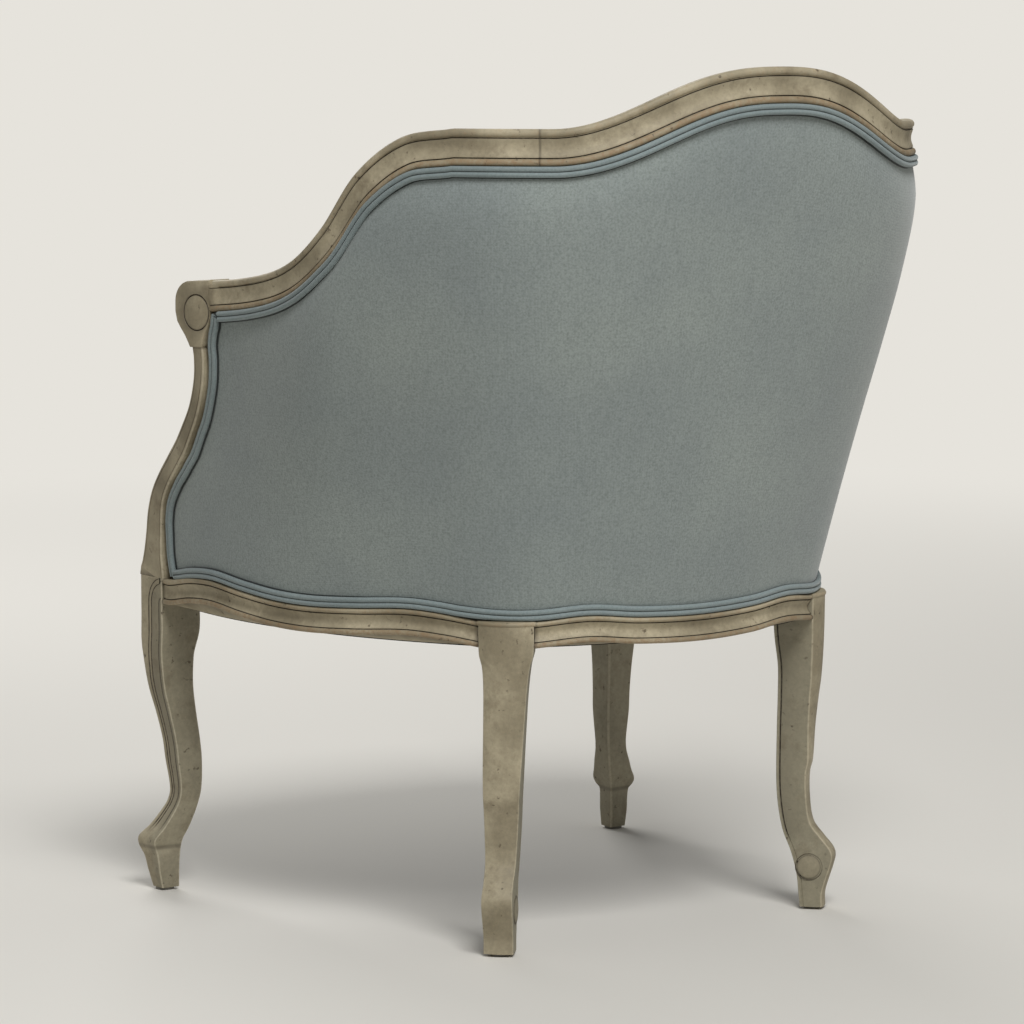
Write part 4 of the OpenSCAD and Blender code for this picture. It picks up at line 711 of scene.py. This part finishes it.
def seat_line_z(t):
    """Height of the seat rails' tops along that line."""
    rear, w, side = seat_shares(t)
    turn = mix(wave(REAR_WAVE, rear_stop), wave(SIDE_WAVE, side_stop), w)
    return seat_rail_top + seat_part(t, wave(REAR_WAVE, rear), turn, wave(SIDE_WAVE, side))


def shell_foot(t):
    """Foot of the shell on the seat rails."""
    d = unit(seat_line(t + STEP) - seat_line(np.maximum(0, t - STEP)))
    plan = seat_line(t) - coords(-d[..., 1], d[..., 0]) * seat_inset
    return np.concatenate([plan, (seat_line_z(t) + 5 * soft_gap)[..., None]], -1)


def shell_head(t):
    """Head of the shell under the top rail, where its front edge has been drawn back to the knuckle."""
    p, along, out, _ = rail_frame(t * shell_front)
    q = t * shell_front + head_shift * smooth((t - 0.5) / 0.5) * along[..., 1]
    z = rail_under(q) - 3 * soft_gap / rail_frame(q)[3][..., 2]
    return np.concatenate([p[..., :2] - out[..., :2] * cover_inset, z[..., None]], -1)


def support_share(z):
    """Share of the arm support's height at a height, and how much its lean widens a level cut there."""
    u = np.clip((z - support_foot[2]) / (support_top[2] - support_foot[2]), 0, 1)
    return u, 1 / heading(support_point, u)[..., 2]


def support_edge_y(z):
    """Place of the rear edge of the arm support and knuckle at a height."""
    u, widened = support_share(z)
    y = support_point(u)[..., 1] + support_foot_w * curve(WIDTH, u) / 2 * widened
    rear = np.array(EDGE_REAR)
    knuckle = boss_plan[1] + boss_r * np.interp((z - boss_z) / boss_r, rear[:, 1], rear[:, 0])
    return edge_gap + np.where(z < support_top[2], y, np.maximum(y, knuckle))


def shell(t, v):
    """Point of the shell: from foot to head, swelled outwards, its front edge drawn to the support."""
    t, v = np.broadcast_arrays(np.asarray(t, float), np.asarray(v, float))
    a = np.abs(t)
    p = mix(shell_foot(a), shell_head(a), v[..., None])
    full = cover_full * mix(0.5, 1, smooth(a / 0.4)) * (1 - smooth((a - 0.5) / 0.5)) * curve(FULL, v)
    p = p + rail_frame(a * shell_front)[2] * full[..., None]
    one = np.ones(1)
    edge = mix(shell_foot(one), shell_head(one), v[..., None])
    p[..., 1] += (support_edge_y(edge[..., 2]) - edge[..., 1]) * smooth((a - 0.5) / 0.5)
    p[..., 0] *= np.where(t < 0, -1.0, 1.0)
    return p


def shell_out(t, v):
    """Outward direction of the shell in plan."""
    d = shell(t + STEP, v) - shell(t - STEP, v)
    return unit(coords(-d[..., 1], d[..., 0], 0.0))


def at(t, v, out):
    """Point a distance outwards from the shell."""
    return shell(t, v) + shell_out(t, v) * np.asarray(out, float)[..., None]


def share_at(t, z):
    """Height share of a height on the shell."""
    low, high = shell(t, 0.0)[..., 2], shell(t, 1.0)[..., 2]
    return (z - low) / (high - low)


# Outside cover and its lining
# One piece of fine pale blue-grey linen velvet wraps the back and both arms, over a thin wadding and a hessian
# lining. It is stretched smooth and tacked under the rails; the welts hide its edges.
# The last colour is painted shade, for where a welt's cords meet and for the shadow line beside a welt.
CLOTH_LIGHT, CLOTH_DARK, CLOTH_GRAIN, SEAM_SHADE = "#959d99", "#899190", "#5c6461", "#2f3433"
THREAD_MM, SLUB_MM, SHADE_MM = 1.6, 26.0, 170.0  # threads are drawn coarser than the real ones, so that they show
BAND = 6.283  # makes one wave of the texture span two threads, one over and one under
cover_seen_t, lining_seen_t = 1.6, 1.0


def woven(name, light, dark, grain, rough=0.85, thread=THREAD_MM, sheen=0.35, relief=0.0002):
    """Woven cloth: two crossed thread waves on the piece's own cloth attribute, slubs, and slow shading."""
    m, tree, place = material(name)
    cloth = add(tree, "Attribute", attribute_name="cloth", out="Vector")
    seam = add(tree, "Attribute", attribute_name="seam", out="Fac")
    weft, warp = (add(tree, "TexWave", Vector=cloth, Scale=1000 / thread / BAND, Distortion=1.6, Detail=1.0,
                      Detail_Scale=2.0, bands_direction=way, out="Fac") for way in "XY")
    stretch = add(tree, "Mapping", Vector=cloth, Scale=(3.0, 0.7, 1.0))
    slow = add(tree, "TexNoise", Vector=place, Scale=1000 / SHADE_MM, Detail=2.0)
    slub = add(tree, "TexNoise", Vector=stretch, Scale=1000 / SLUB_MM, Detail=4.0, Roughness=0.65)
    fuzz = add(tree, "TexNoise", Vector=place, Scale=1000 / (1.5 * thread), Detail=3.0, Roughness=0.8)
    tone = add(tree, "MapRange", slow, 0.3, 0.7)
    shade = add(tree, "Mix", tone, linear(dark), linear(light), data_type="RGBA")
    lines = add(tree, "MapRange", slub, 0.35, 0.65, 0.97, 1.03)
    shade = add(tree, "Mix", 1.0, shade, lines, data_type="RGBA", blend_type="MULTIPLY")
    pits = add(tree, "MapRange", fuzz, 0.42, 0.7, 0.0, 0.55)
    # The seam attribute carries painted shade on the welts.
    for amount, colour in ((pits, grain), (seam, SEAM_SHADE)):
        shade = add(tree, "Mix", amount, shade, linear(colour), data_type="RGBA")
    weave = add(tree, "Math", weft, warp, operation="MULTIPLY")
    height = add(tree, "Math", weave, fuzz, operation="ADD")
    bump = add(tree, "Bump", Height=height, Strength=0.5, Distance=relief)
    add(tree, "OutputMaterial", add(tree, "BsdfPrincipled", Base_Color=shade, Roughness=rough, Specular_IOR_Level=0.2,
                                    Sheen_Weight=sheen, Sheen_Roughness=0.45, Normal=bump))
    return m


def lay_cloth(piece, across, up):
    """Writes the cloth attribute: metres across and up the cloth at each vertex."""
    layer = piece.data.attributes.new("cloth", "FLOAT_VECTOR", "POINT")
    layer.data.foreach_set("vector", (coords(across, up, 0.0) * MM).astype(np.float32).ravel())
    return piece


def run_length(points):
    """Distance along a row of points."""
    return np.concatenate([[0], np.cumsum(np.linalg.norm(np.diff(points, axis=0), axis=-1))])


def slab(name, outer, inner, skin):
    """Closed sheet between an outer and an inner grid of points, given along and up, with its cloth laid."""
    m, n = outer.shape[:2]
    piece = surface(name, np.concatenate([outer, inner[:, ::-1]], 1), skin, sharp=70)
    up = run_length(outer[m // 2])[None]
    return lay_cloth(piece, run_length(outer[:, n // 2])[:, None], np.concatenate([up, up[:, ::-1]], 1))


def cloth_area(grid):
    """Area of a grid of points in square metres, with its two crossing lengths."""
    a, b = np.diff(grid, axis=0)[:, :-1], np.diff(grid, axis=1)[:-1]
    area = np.linalg.norm(np.cross(a, b), axis=-1).sum() * MM * MM
    wide = max(run_length(grid[:, k])[-1] for k in range(grid.shape[1])) * MM
    high = max(run_length(row)[-1] for row in grid) * MM
    return float(area), float(wide), float(high)


def stretched(name, node, out, thick, skin):
    """Sheet stretched over the shell at a distance outwards; its flat size is worked out but not used."""
    t, v = np.linspace(-1, 1, 321)[:, None], np.linspace(0, 1, 81)[None]
    outer = at(t, v, out)
    piece = stands_for(slab(name, outer, at(t, v, out - thick), skin), node)
    area, wide, high = cloth_area(outer)


linen = woven("linen_velvet", CLOTH_LIGHT, CLOTH_DARK, CLOTH_GRAIN)
hessian = woven("hessian", "#b39a6d", "#94794c", "#6d5734", 0.95, 2.4, 0.0, 0.0004)
stretched("outside_cover_linen", "outside_cover", 0.0, cover_seen_t, linen)
stretched("outside_lining_hessian", "outside_lining", -cover_t - soft_gap, lining_seen_t, hessian)

# Double welts
# Two cords covered with the same linen and sewn side by side. They are glued over the tacked edges of the
# cloth: under the top rail, along the supports, and above the seat rails.
WELT_LIGHT, WELT_DARK, WELT_GRAIN = "#8e9999", "#7d8888", "#627174"
welt_d = 5.6
outer_down, seat_up, corner_dip = welt_d - 1.0, welt_d - 1.3, 3.0  # from the shell's head and foot
stile_t, webbing_t = 18, 1.6
stile_out = -(cover_t + lining_t + 3 * soft_gap)
web_out = stile_out - stile_t - soft_gap
outer_end, inner_end = 1 - 2.0 * welt_d / shell_front, 0.988
welting = woven("linen_welting", WELT_LIGHT, WELT_DARK, WELT_GRAIN, 0.85, 1.3, 0.3, 0.00025)


def welt_section():
    """Section (outwards, across, painted shade) of two touching round cords and a lip each side, painted dark as
    shadow.
    """
    r = welt_d / 2
    cord = arc(r, -r * 0.98, r, -128, 88, 13)
    shadow_lip = [[0, -4.0, 1], [0, -6.8, 1], [0.4, -6.7, 1], [0.7, -4.7, 1]]
    # The last two cord points, where the two cords meet, get painted shade.
    half = np.vstack([shadow_lip, np.column_stack([cord, np.arange(13) > 10])])
    return np.vstack([half, half[::-1] * [1, -1, 1]])


def welt(name, path, outs):
    """Double cord laid along a path, its section turned outwards at each point."""
    b = unit(np.cross(unit(np.gradient(path, axis=0)), outs))
    out, across, welt_shade = welt_section().T[:, None]
    piece = surface(name, swept(path, outs, out, b, across), welting, sharp=80, seam=welt_shade)
    return lay_cloth(piece, run_length(path)[:, None], np.linspace(0, 30, out.size)[None])


def head_point(t, down, out):
    """Point of the shell a distance under its head, square to the rail."""
    z = shell(t, 1.0)[..., 2] - down / rail_frame(t * shell_front)[3][..., 2]
    return at(t, share_at(t, z), out)


t = np.linspace(-outer_end, outer_end, 361)
stands_for(welt("rail_welt_outer_cord", head_point(t, outer_down, 3 * soft_gap), shell_out(t, 1.0)),
           "rail_welt_outer")
dip = corner_dip * np.sin(np.pi * np.clip((np.abs(t) - corner_from) / (corner_to - corner_from), 0, 1))
path = at(t, share_at(t, shell(t, 0.0)[..., 2] + seat_up - dip), 3 * soft_gap)
stands_for(welt("seat_welt_cord", path, shell_out(t, 0.0)), "seat_welt")
t = np.linspace(-inner_end, inner_end, 361)
path = head_point(t, welt_d, web_out - webbing_t - 2 * soft_gap)
stands_for(welt("rail_welt_inner_cord", path, -shell_out(t, 1.0)), "rail_welt_inner")
v = np.linspace(0.006, 0.985, 121)
place = 1 - (welt_d + soft_gap) * support_share(shell(1.0, v)[..., 2])[1] / shell_front
pair(welt("arm_welt_left_cord", at(place, v, 2 * soft_gap), shell_out(place, v)), "arm_welt_left")
u = np.linspace(0.045, 0.955, 121)
path = np.column_stack([front_plan(u) + [0, seat_inset - soft_gap],
                        seat_rail_top + wave(FRONT_WAVE, u) + welt_d + 3 * soft_gap])
stands_for(welt("front_welt_cord", path, np.tile([0.0, -1.0, 0.0], (len(u), 1))), "front_welt")

# Springing inside
# Six upright jute straps are nailed between the rails behind the back padding. Nobody sees them in use, but
# they carry the padding.
back_strap_half, back_strap_pitch = 0.035, 0.12  # shares of the shell's length
jute = woven("jute_webbing", "#b89b6a", "#95774a", "#6b5433", 0.95, 2.0, 0.0, 0.0005)
straps = []
for middle in np.arange(-2.5, 3) * back_strap_pitch:
    t = np.linspace(middle - back_strap_half, middle + back_strap_half, 9)[:, None]
    v = np.linspace(0.06, 0.985, 41)[None]
    straps.append(slab("strap", at(t, v, web_out), at(t, v, web_out - webbing_t), jute))
stands_for(joined("back_webbing_jute", straps), "back_webbing")

# Inside padding
# Curled hair and foam under the same linen: thick at its middle, drawn in under the top rail and at the
# folds where the back meets the arms. A strip of linen closes its front behind each arm support.
deck_z = seat_rail_top + seat_rail_rise + soft_gap + webbing_t + soft_gap
deck_t = 22
deck_top = deck_z + deck_t
pad_z = deck_top + soft_gap
pad_t, pad_edge_t, fold, fold_gap, pad_end = 40, 10, 0.442, 0.0016, 0.9975


def pad(name, node, start, end, out):
    """Crowned pad on the inside of the shell between two places."""
    t = np.linspace(start, end, 161)
    low = share_at(t, pad_z)[:, None]
    high = share_at(t, head_point(t, 2 * welt_d + 14 * soft_gap, 0.0)[..., 2])[:, None]
    b = np.linspace(0, 1, 61)[None]
    t, v = t[:, None], mix(low, high, b)
    a = 2 * (t - start) / (end - start) - 1
    rise = np.where(b > 0.4, 1 - (np.maximum(b - 0.4, 0) / 0.6) ** 3, 1 - 0.15 * (np.maximum(0.4 - b, 0) / 0.4) ** 2)
    inner = at(t, v, out - mix(pad_edge_t, pad_t, (1 - np.abs(a) ** 5) * rise))
    piece = stands_for(slab(name, at(t, v, out), inner, linen), node)
    return piece


pad("back_pad_linen", "back_pad", -fold, fold, web_out - webbing_t - 4 * soft_gap)
left_pad = pad("arm_pad_left_linen", "arm_pad_left", fold + fold_gap, pad_end, web_out - soft_gap)
right_pad = pad("arm_pad_right_linen", "arm_pad_right", -pad_end, -fold - fold_gap, web_out - soft_gap)
v, out = np.linspace(0.003, 0.985, 81)[:, None], np.linspace(web_out - pad_edge_t - 2, -cover_t - 2, 13)[None]
facing = slab("facing", at(0.9995, v, out), at(0.998, v, out), linen)
joined("arm_pad_right_linen", [right_pad, mirrored(facing, "facing_right")])
joined("arm_pad_left_linen", [left_pad, facing])


# Beech, steel and plastic that stay as they were built
# The hidden frame parts are plain sawn beech, the screws are zinc plated, and the glides are grey plastic.
# They keep their CAD meshes and get only their finish.
def plain(name, light, dark, grain_mm, rough, metal=0.0, stretch=(1.0, 1.0, 0.12)):
    """Plain finish with a stretched grain: sawn beech, plated steel or moulded plastic."""
    m, tree, place = material(name)
    turned = add(tree, "Mapping", Vector=place, Scale=stretch)
    grain = add(tree, "TexNoise", Vector=turned, Scale=1000 / grain_mm, Detail=5.0)
    base = add(tree, "Mix", grain, linear(dark), linear(light), data_type="RGBA")
    bump = add(tree, "Bump", Height=grain, Strength=0.3, Distance=0.0003)
    add(tree, "OutputMaterial", add(tree, "BsdfPrincipled", Base_Color=base, Roughness=rough, Metallic=metal,
                                    Normal=bump))
    return m


def refinish(names, skin):
    """Gives CAD nodes a better material."""
    for name in names:
        for material_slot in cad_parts[name].material_slots:
            material_slot.material = skin


corners = ["front_left", "front_right", "rear_left", "rear_right"]
refinish(["back_stile_left", "back_stile_right", "back_tacking_rail", "arm_tacking_rail_left",
          "arm_tacking_rail_right", "frame_dowels"] + ["corner_block_" + c for c in corners],
         plain("sawn_beech", "#cda777", "#a57d4e", 6.0, 0.6))
refinish(["corner_screws"], plain("zinc_plated_steel", "#a3a6a8", "#7d8084", 3.0, 0.35, 1.0, (1, 1, 1)))
refinish(["foot_glide_" + c for c in corners], plain("glide_plastic", "#77736a", "#5b574f", 1.5, 0.5, 0.0, (1, 1, 1)))

# Seat webbing and deck
# Jute straps are woven over and under each other and nailed to the seat rails. The padded deck lies on them, and
# its front border hangs over the front rail, with the supports' feet let into it and a linen corner beside each.
rise_in = seat_inset + cover_t + lining_t + 8 * soft_gap
web_z = seat_rail_top + seat_rail_rise + soft_gap
strap_w, strap_pitch, strap_lift, web_y = 50, 88, 0.42, feet_y - 18
leg_room, foot_room = 41, 35
# Linen corners: their inner end, and the depths behind the front rail of both faces at some of their 17 stations
corner_x, CORNER_FRONT, CORNER_BACK = 253, ((0, 6, 16), (16, 4.5, 1.7)), ((0, 16), (78, 36))
plan_middle = np.array([0.0, -12.6])
turns = np.linspace(0, 2 * np.pi, 361)[:-1]
rays = coords(np.cos(turns), np.sin(turns))


def inner_outline(inset, last, front_in):
    """Closed plan line: the foot of the shell moved inwards, then the front rail's line moved inwards."""
    t = np.linspace(-last, last, 161)
    back = shell(t, 0.0) - shell_out(t, 0.0) * inset
    return np.vstack([back[:, :2], front_plan(np.linspace(0.03, 0.97, 61)) + [0, front_in]])


def reach(line, blocked=None):
    """Distance from the middle out to a plan line at each angle, cut short where a test says a point is blocked."""
    r = polar(line - plan_middle, turns)
    if blocked is None:
        return r
    share = np.linspace(0, 1, 900)
    bad = blocked(plan_middle + rays[:, None] * (r[:, None] * share)[..., None])
    return r * np.where(bad.any(1), share[bad.argmax(1)], 1)


def plate(name, r, profile, skin):
    """Closed plate through rings about the middle: each ring is a share of the reach at a height."""
    grid = np.array([np.column_stack([plan_middle + rays * (r * share)[:, None], np.full(len(r), z)])
                     for share, z in profile])
    return lay_cloth(surface(name, grid, skin, sharp=60), grid[..., 0], grid[..., 1] + grid[..., 2])


def at_leg(p, grow):
    """Whether plan points lie in the room of a rear leg and its stile."""
    x, y = np.abs(p[..., 0]) - rear_foot[0], p[..., 1] - rear_foot[1]
    return (((x + y) * diag[0] > -leg_room - grow) & (np.abs((y - x) * diag[0] - leg_shift) < rear_block_w / 2 + grow))


def seat_straps():
    """Seven straps run from front to back and six across, each over and under the others."""
    line = plan_middle + rays * reach(inner_outline(rise_in - seat_inset + 3, 0.94, rise_in + 3),
                                      lambda p: at_leg(p, 0.5))[:, None]
    straps = []
    for axis, places in ((0, np.arange(-3, 4) * strap_pitch), (1, web_y + np.arange(-2.5, 3) * strap_pitch)):
        for k, c in enumerate(places):
            across = np.linspace(-strap_w / 2, strap_w / 2, 7)
            ends = []
            for side in (-1, 1):
                edge = line[side * (line[:, 1 - axis] - plan_middle[1 - axis]) > 0]
                edge = edge[np.argsort(edge[:, axis])]
                ends.append(side * np.min(side * np.interp(c + across, edge[:, axis], edge[:, 1 - axis])))
            run, wide = np.broadcast_arrays(np.linspace(*ends, 121)[:, None], c + across)
            phase = run / strap_pitch if axis else (run - web_y) / strap_pitch - 0.5
            z = web_z + 0.8 + strap_lift * np.cos(np.pi * phase) * (-1) ** k * (1 if axis else -1)
            low, high = (coords(*((run, wide) if axis else (wide, run)), z + d) for d in (-0.36, 0.36))
            straps.append(slab("strap", *((high, low) if axis else (low, high)), jute))
    return joined("seat_webbing_jute", straps)


def seat_deck():
    """Deck with soft edges, its border over the front rail, and the two linen corners."""
    foot = lambda p: (np.abs(p[..., 0]) > support_foot[0] - support_t - 2) & (p[..., 1] < support_foot[1] + foot_room)
    r = reach(inner_outline(stile_t - stile_out + soft_gap + 6, 0.955, seat_inset + cover_t), foot)
    z0, z1 = deck_z, deck_top
    body = plate("deck", r, [(0.001, z0), (0.5, z0), (0.985, z0), (1, z0 + 3), (1, z1 - 7), (0.992, z1 - 3),
                             (0.98, z1 - 0.8), (0.95, z1), (0.5, z1), (0.001, z1)], linen)
    u, rows = np.linspace(0.04, 0.96, 121), np.linspace(0, 1, 9)[None]
    low, high = seat_rail_top + wave(FRONT_WAVE, u) + 2 * soft_gap, deck_z + deck_t * 0.8
    z = mix(low[:, None], high, rows)
    x, y = front_plan(u).T[..., None]
    outer = coords(x, y + seat_inset - 1.2 * np.sin(np.pi * rows), z)
    inner = coords(x, y + seat_inset + cover_t + soft_gap, z)
    x = np.linspace(support_foot[0] - support_t - 0.7, corner_x, 17)
    sides = [np.interp(-x, -x[list(at_x)], front_end[1] + np.array(by)) for at_x, by in (CORNER_FRONT, CORNER_BACK)]
    z = np.linspace(low[0] + 0.5, high, 7)
    corner = slab("corner", *(coords(x[:, None], y[:, None], z) for y in sides), linen)
    return joined("seat_deck_linen", [body, slab("border", outer, inner, linen), corner,
                                      mirrored(corner, "corner_right")])


stands_for(seat_straps(), "seat_webbing")
deck = stands_for(seat_deck(), "seat_deck")

# Loose cushion and its piping
# A boxed cushion of feather and foam: crowned top, drawn-in sides, and a corded seam round its top and bottom.
# It lies loose on the deck and lifts off. Its cloth is blown up by a cloth simulation, held at both seams.
cushion_t, cushion_crown, cushion_waist, cushion_gap, piping_d = 84, 20, 4, 4, 6
cushion_turn, seam_held, side_seen, side_girth = 34, 4, 3.5, 290
voxel, swell_cap, pressure, sim_frames = 0.006, 9, 4.0, 20
cushion_z = deck_top + soft_gap
cushion_low = cushion_z + 8
cushion_high = cushion_low + cushion_t
cushion_corner = np.array([support_foot[0] - support_t - piping_d - cushion_gap, front_end[1] + 12])


def cushion_reach():
    """Smoothed distance from the middle to the cushion's seam at each angle."""
    t = np.linspace(-0.9, 0.9, 161)
    back = at(t, share_at(t, cushion_z), web_out - webbing_t - pad_t - piping_d - cushion_gap)[:, :2]
    u = np.linspace(0.1, 1, 21)[:, None]
    c = cushion_corner
    edge = (c + [0, cushion_turn]) * (1 - u) ** 2 + c * 2 * u * (1 - u) + (c - [cushion_turn, 5]) * u ** 2
    x = np.linspace(0.86, -0.86, 41)
    front = coords(c[0] * x, mix(front_plan(0.5)[1] + 6, c[1] - 5, x ** 2 * 1.2))
    r = reach(np.vstack([back, edge, front, edge[::-1] * [-1, 1]]))
    window = np.exp(-0.5 * (np.arange(-6, 7) / 2.4) ** 2)
    return np.convolve(np.concatenate([r[-6:], r, r[:6]]), window / window.sum(), "valid")


def corners_of(mesh):
    """Vertices of a mesh as an array."""
    flat = np.empty(len(mesh.vertices) * 3, np.float32)
    mesh.vertices.foreach_get("co", flat)
    return flat.reshape(-1, 3)


def blown_up(piece, held):
    """Remeshes a closed piece, blows it up as cloth with its held points fixed, and caps how far points move."""
    baked = lambda: bpy.data.meshes.new_from_object(piece.evaluated_get(bpy.context.evaluated_depsgraph_get()))
    piece.modifiers.new("remesh", "REMESH").voxel_size = voxel
    mesh = baked()
    piece.modifiers.clear()
    piece.data = mesh
    start = corners_of(mesh)
    piece.vertex_groups.new(name="held").add(np.flatnonzero(held(start / MM)).tolist(), 1.0, "REPLACE")
    cloth = piece.modifiers.new("cloth", "CLOTH")
    cloth.settings.use_pressure = True
    cloth.settings.uniform_pressure_force = pressure
    cloth.settings.effector_weights.gravity = 0.0
    cloth.settings.vertex_group_mass = "held"
    cloth.point_cache.frame_start, cloth.point_cache.frame_end = 1, sim_frames
    for step in range(1, sim_frames + 1):
        scene.frame_set(step)
    d = corners_of(baked()) - start
    piece.modifiers.clear()
    scene.frame_set(1)
    far = np.linalg.norm(d, axis=1, keepdims=True)
    return (start + d * np.minimum(1, swell_cap * MM / np.maximum(far, 1e-9))) / MM


def seat_cushion():
    """Boxed cushion: rings from the middle of its underside round its two seams to its crown."""
    r = cushion_reach()
    v = np.linspace(0, 1, 9)[1:-1]
    waist = 1 - cushion_waist / cushion_corner[0] * 4 * v * (1 - v)
    profile = [(0.001, cushion_z), (0.6, cushion_z), (0.86, cushion_z), (0.95, cushion_z + 3), (0.995, cushion_low)]
    profile += list(zip(waist * 0.995, mix(cushion_low, cushion_high, v)))
    profile += [(a, cushion_high + cushion_crown * 0.62 * b) for a, b in (
        (0.995, 0), (0.96, 0.22), (0.88, 0.5), (0.76, 0.73), (0.6, 0.89), (0.38, 0.98), (0.001, 1))]
    piece = plate("cushion", r, profile, linen)
    angle = lambda p: np.arctan2(p[:, 1] - plan_middle[1], p[:, 0] - plan_middle[0])
    out = lambda p: (np.hypot(p[:, 0], p[:, 1] - plan_middle[1])
                     - np.interp(angle(p), turns, r, period=2 * np.pi))
    seam = lambda p: ((np.minimum(abs(p[:, 2] - cushion_low), abs(p[:, 2] - cushion_high)) < seam_held)
                      & (out(p) > -5))
    p = blown_up(piece, seam)
    p[:, 2] = np.clip(p[:, 2], cushion_z, cushion_high + cushion_crown)
    d = p[:, :2] - plan_middle
    p[:, :2] += d / np.maximum(np.linalg.norm(d, axis=1, keepdims=True), 1) * np.minimum(0, 2.5 - out(p))[:, None]
    mesh = piece.data
    mesh.vertices.foreach_set("co", (p * MM).astype(np.float32).ravel())
    side = out(p) > -side_seen
    lay_cloth(piece, np.where(side, angle(p) * side_girth, p[:, 0]), np.where(side, p[:, 2], p[:, 1]))
    bpy.data.objects.remove(piece)
    mesh.materials.clear()
    cushion = finished("seat_cushion_linen", mesh, linen, 60)
    rounder = cushion.modifiers.new("smooth", "SUBSURF")
    rounder.levels = rounder.render_levels = 1
    return cushion


def cushion_piping():
    """Round cord along both seams of the cushion."""
    ring = plan_middle + rays * cushion_reach()[:, None]
    along = unit(np.roll(ring, -1, 0) - np.roll(ring, 1, 0))
    out = coords(along[:, 1], -along[:, 0])
    o, h = (arc(0.6, 0, 1, 0, 330, 12) * piping_d / 2).T[:, None]
    cords = []
    for z in (cushion_low, cushion_high):
        plan = ring[:, None] + out[:, None] * o[..., None]
        grid = np.concatenate([plan, (z + h + 0 * plan[..., 0])[..., None]], -1)
        cord = surface("cord", grid[:, ::-1], welting, False, True, 80)
        cords.append(lay_cloth(cord, run_length(ring)[:, None], np.linspace(0, 19, 12)[None]))
    return joined("cushion_piping_cord", cords)


cushion = stands_for(seat_cushion(), "seat_cushion", "cushion")
stands_for(cushion_piping(), "cushion_piping", "cushion")

# Black cloth under the seat
# A thin spun cloth, tacked under the rails and cut round the legs, that hides the straps from below. It sags
# a little in its middle.
dust_sag, dust_t = 3, 0.8


def dust_cover():
    """Thin plate with a sag of a few millimetres in its middle, and its area in square metres."""
    block = lambda p: (np.abs(p[..., 0]) > block_low[0] - 0.3) & (p[..., 1] < block_high[1] + 0.3)
    r = reach(inner_outline(seat_rail_w * 0.57 - seat_inset, 0.96, seat_rail_w * 0.57),
              lambda p: at_leg(p, 0.3) | block(p))
    shares = np.array([0.001, 0.15, 0.3, 0.45, 0.6, 0.75, 0.85, 0.93, 0.97, 1])
    over = dust_z - 0.4 - dust_sag * (1 - shares ** 2)
    profile = list(zip(shares, over - dust_t)) + list(zip(shares[::-1], over[::-1]))
    piece = plate("dust_cover_cloth", r, profile, black_cloth)
    return piece, float(0.5 * np.sum(r * np.roll(r, -1) * np.sin(turns[1])) * MM * MM)


black_cloth = woven("spun_black_cloth", "#232325", "#19191b", "#101011", 0.9, 1.0, 0.1, 0.0001)
dust, dust_area = dust_cover()
stands_for(dust, "dust_cover")
dust_size = tuple(float(x) for x in np.ptp(corners_of(dust.data), axis=0)[:2])

# Studio
# A pale floor that fades into the backdrop, a large soft lamp high behind the chair, a softer one before it,
# and an even sky.
FLOOR, BACKDROP, SKY = "#dedbd4", "#e6e3dc", "#f4f4f2"
camera_place, camera_pitch, camera_turn, camera_lens = (2.82037, 3.83629, 0.98563), 6.6735, 144.357, 156.54
floor_half, fade_from, fade_to, sky_strength = 14, 1.2, 4.5, 0.28
# Lamps: name, place, point aimed at, size in metres and watts
LAMPS = [("key", (1.1, 3.0, 4.1), (0, 0.1, 0.5), 1.8, 168), ("front", (-0.8, -3.4, 2.6), (0, 0, 0.5), 2.2, 70)]
camera = shown("camera", bpy.data.cameras.new("camera"))
camera.location = camera_place
camera.rotation_euler = (np.radians(90 - camera_pitch), 0, np.radians(camera_turn))
camera.data.lens, camera.data.sensor_width, camera.data.clip_end = camera_lens, 36, 60
scene.camera = camera

floor_mesh = bpy.data.meshes.new("floor")
floor_mesh.from_pydata([(x * floor_half, y * floor_half, 0) for x, y in ((-1, -1), (1, -1), (1, 1), (-1, 1))], [],
                       [(0, 1, 2, 3)])
floor = shown("floor", floor_mesh)
pale, tree, place = material("pale_floor")
away = add(tree, "VectorMath", place, operation="LENGTH", out="Value")
far = add(tree, "MapRange", away, fade_from, fade_to, interpolation_type="SMOOTHSTEP")
fade = add(tree, "Math", far, add(tree, "LightPath", out="Is Camera Ray"), operation="MULTIPLY")
matt = add(tree, "BsdfPrincipled", Base_Color=linear(FLOOR), Roughness=0.9)
glow = add(tree, "Emission", Color=linear(BACKDROP), Strength=1.0)
add(tree, "OutputMaterial", add(tree, "MixShader", fade, matt, glow))
floor_mesh.materials.append(pale)

for name, place, aim, size, watts in LAMPS:
    light = shown(name, bpy.data.lights.new(name, "AREA"))
    light.data.size, light.data.energy, light.location = size, watts, place
    d = unit(np.array(place, float) - np.array(aim, float))
    light.rotation_euler = (np.arccos(d[2]), 0, np.arctan2(d[1], d[0]) + np.pi / 2)
world = bpy.data.worlds.new("studio")
scene.world = world
world.use_nodes = True
tree = world.node_tree
tree.nodes.clear()
sky = add(tree, "Background", Color=linear(SKY), Strength=sky_strength)
white = add(tree, "Background", Color=linear(BACKDROP), Strength=1.0)
add(tree, "OutputWorld", add(tree, "MixShader", add(tree, "LightPath", out="Is Camera Ray"), sky, white))
scene.view_settings.view_transform = "Standard"
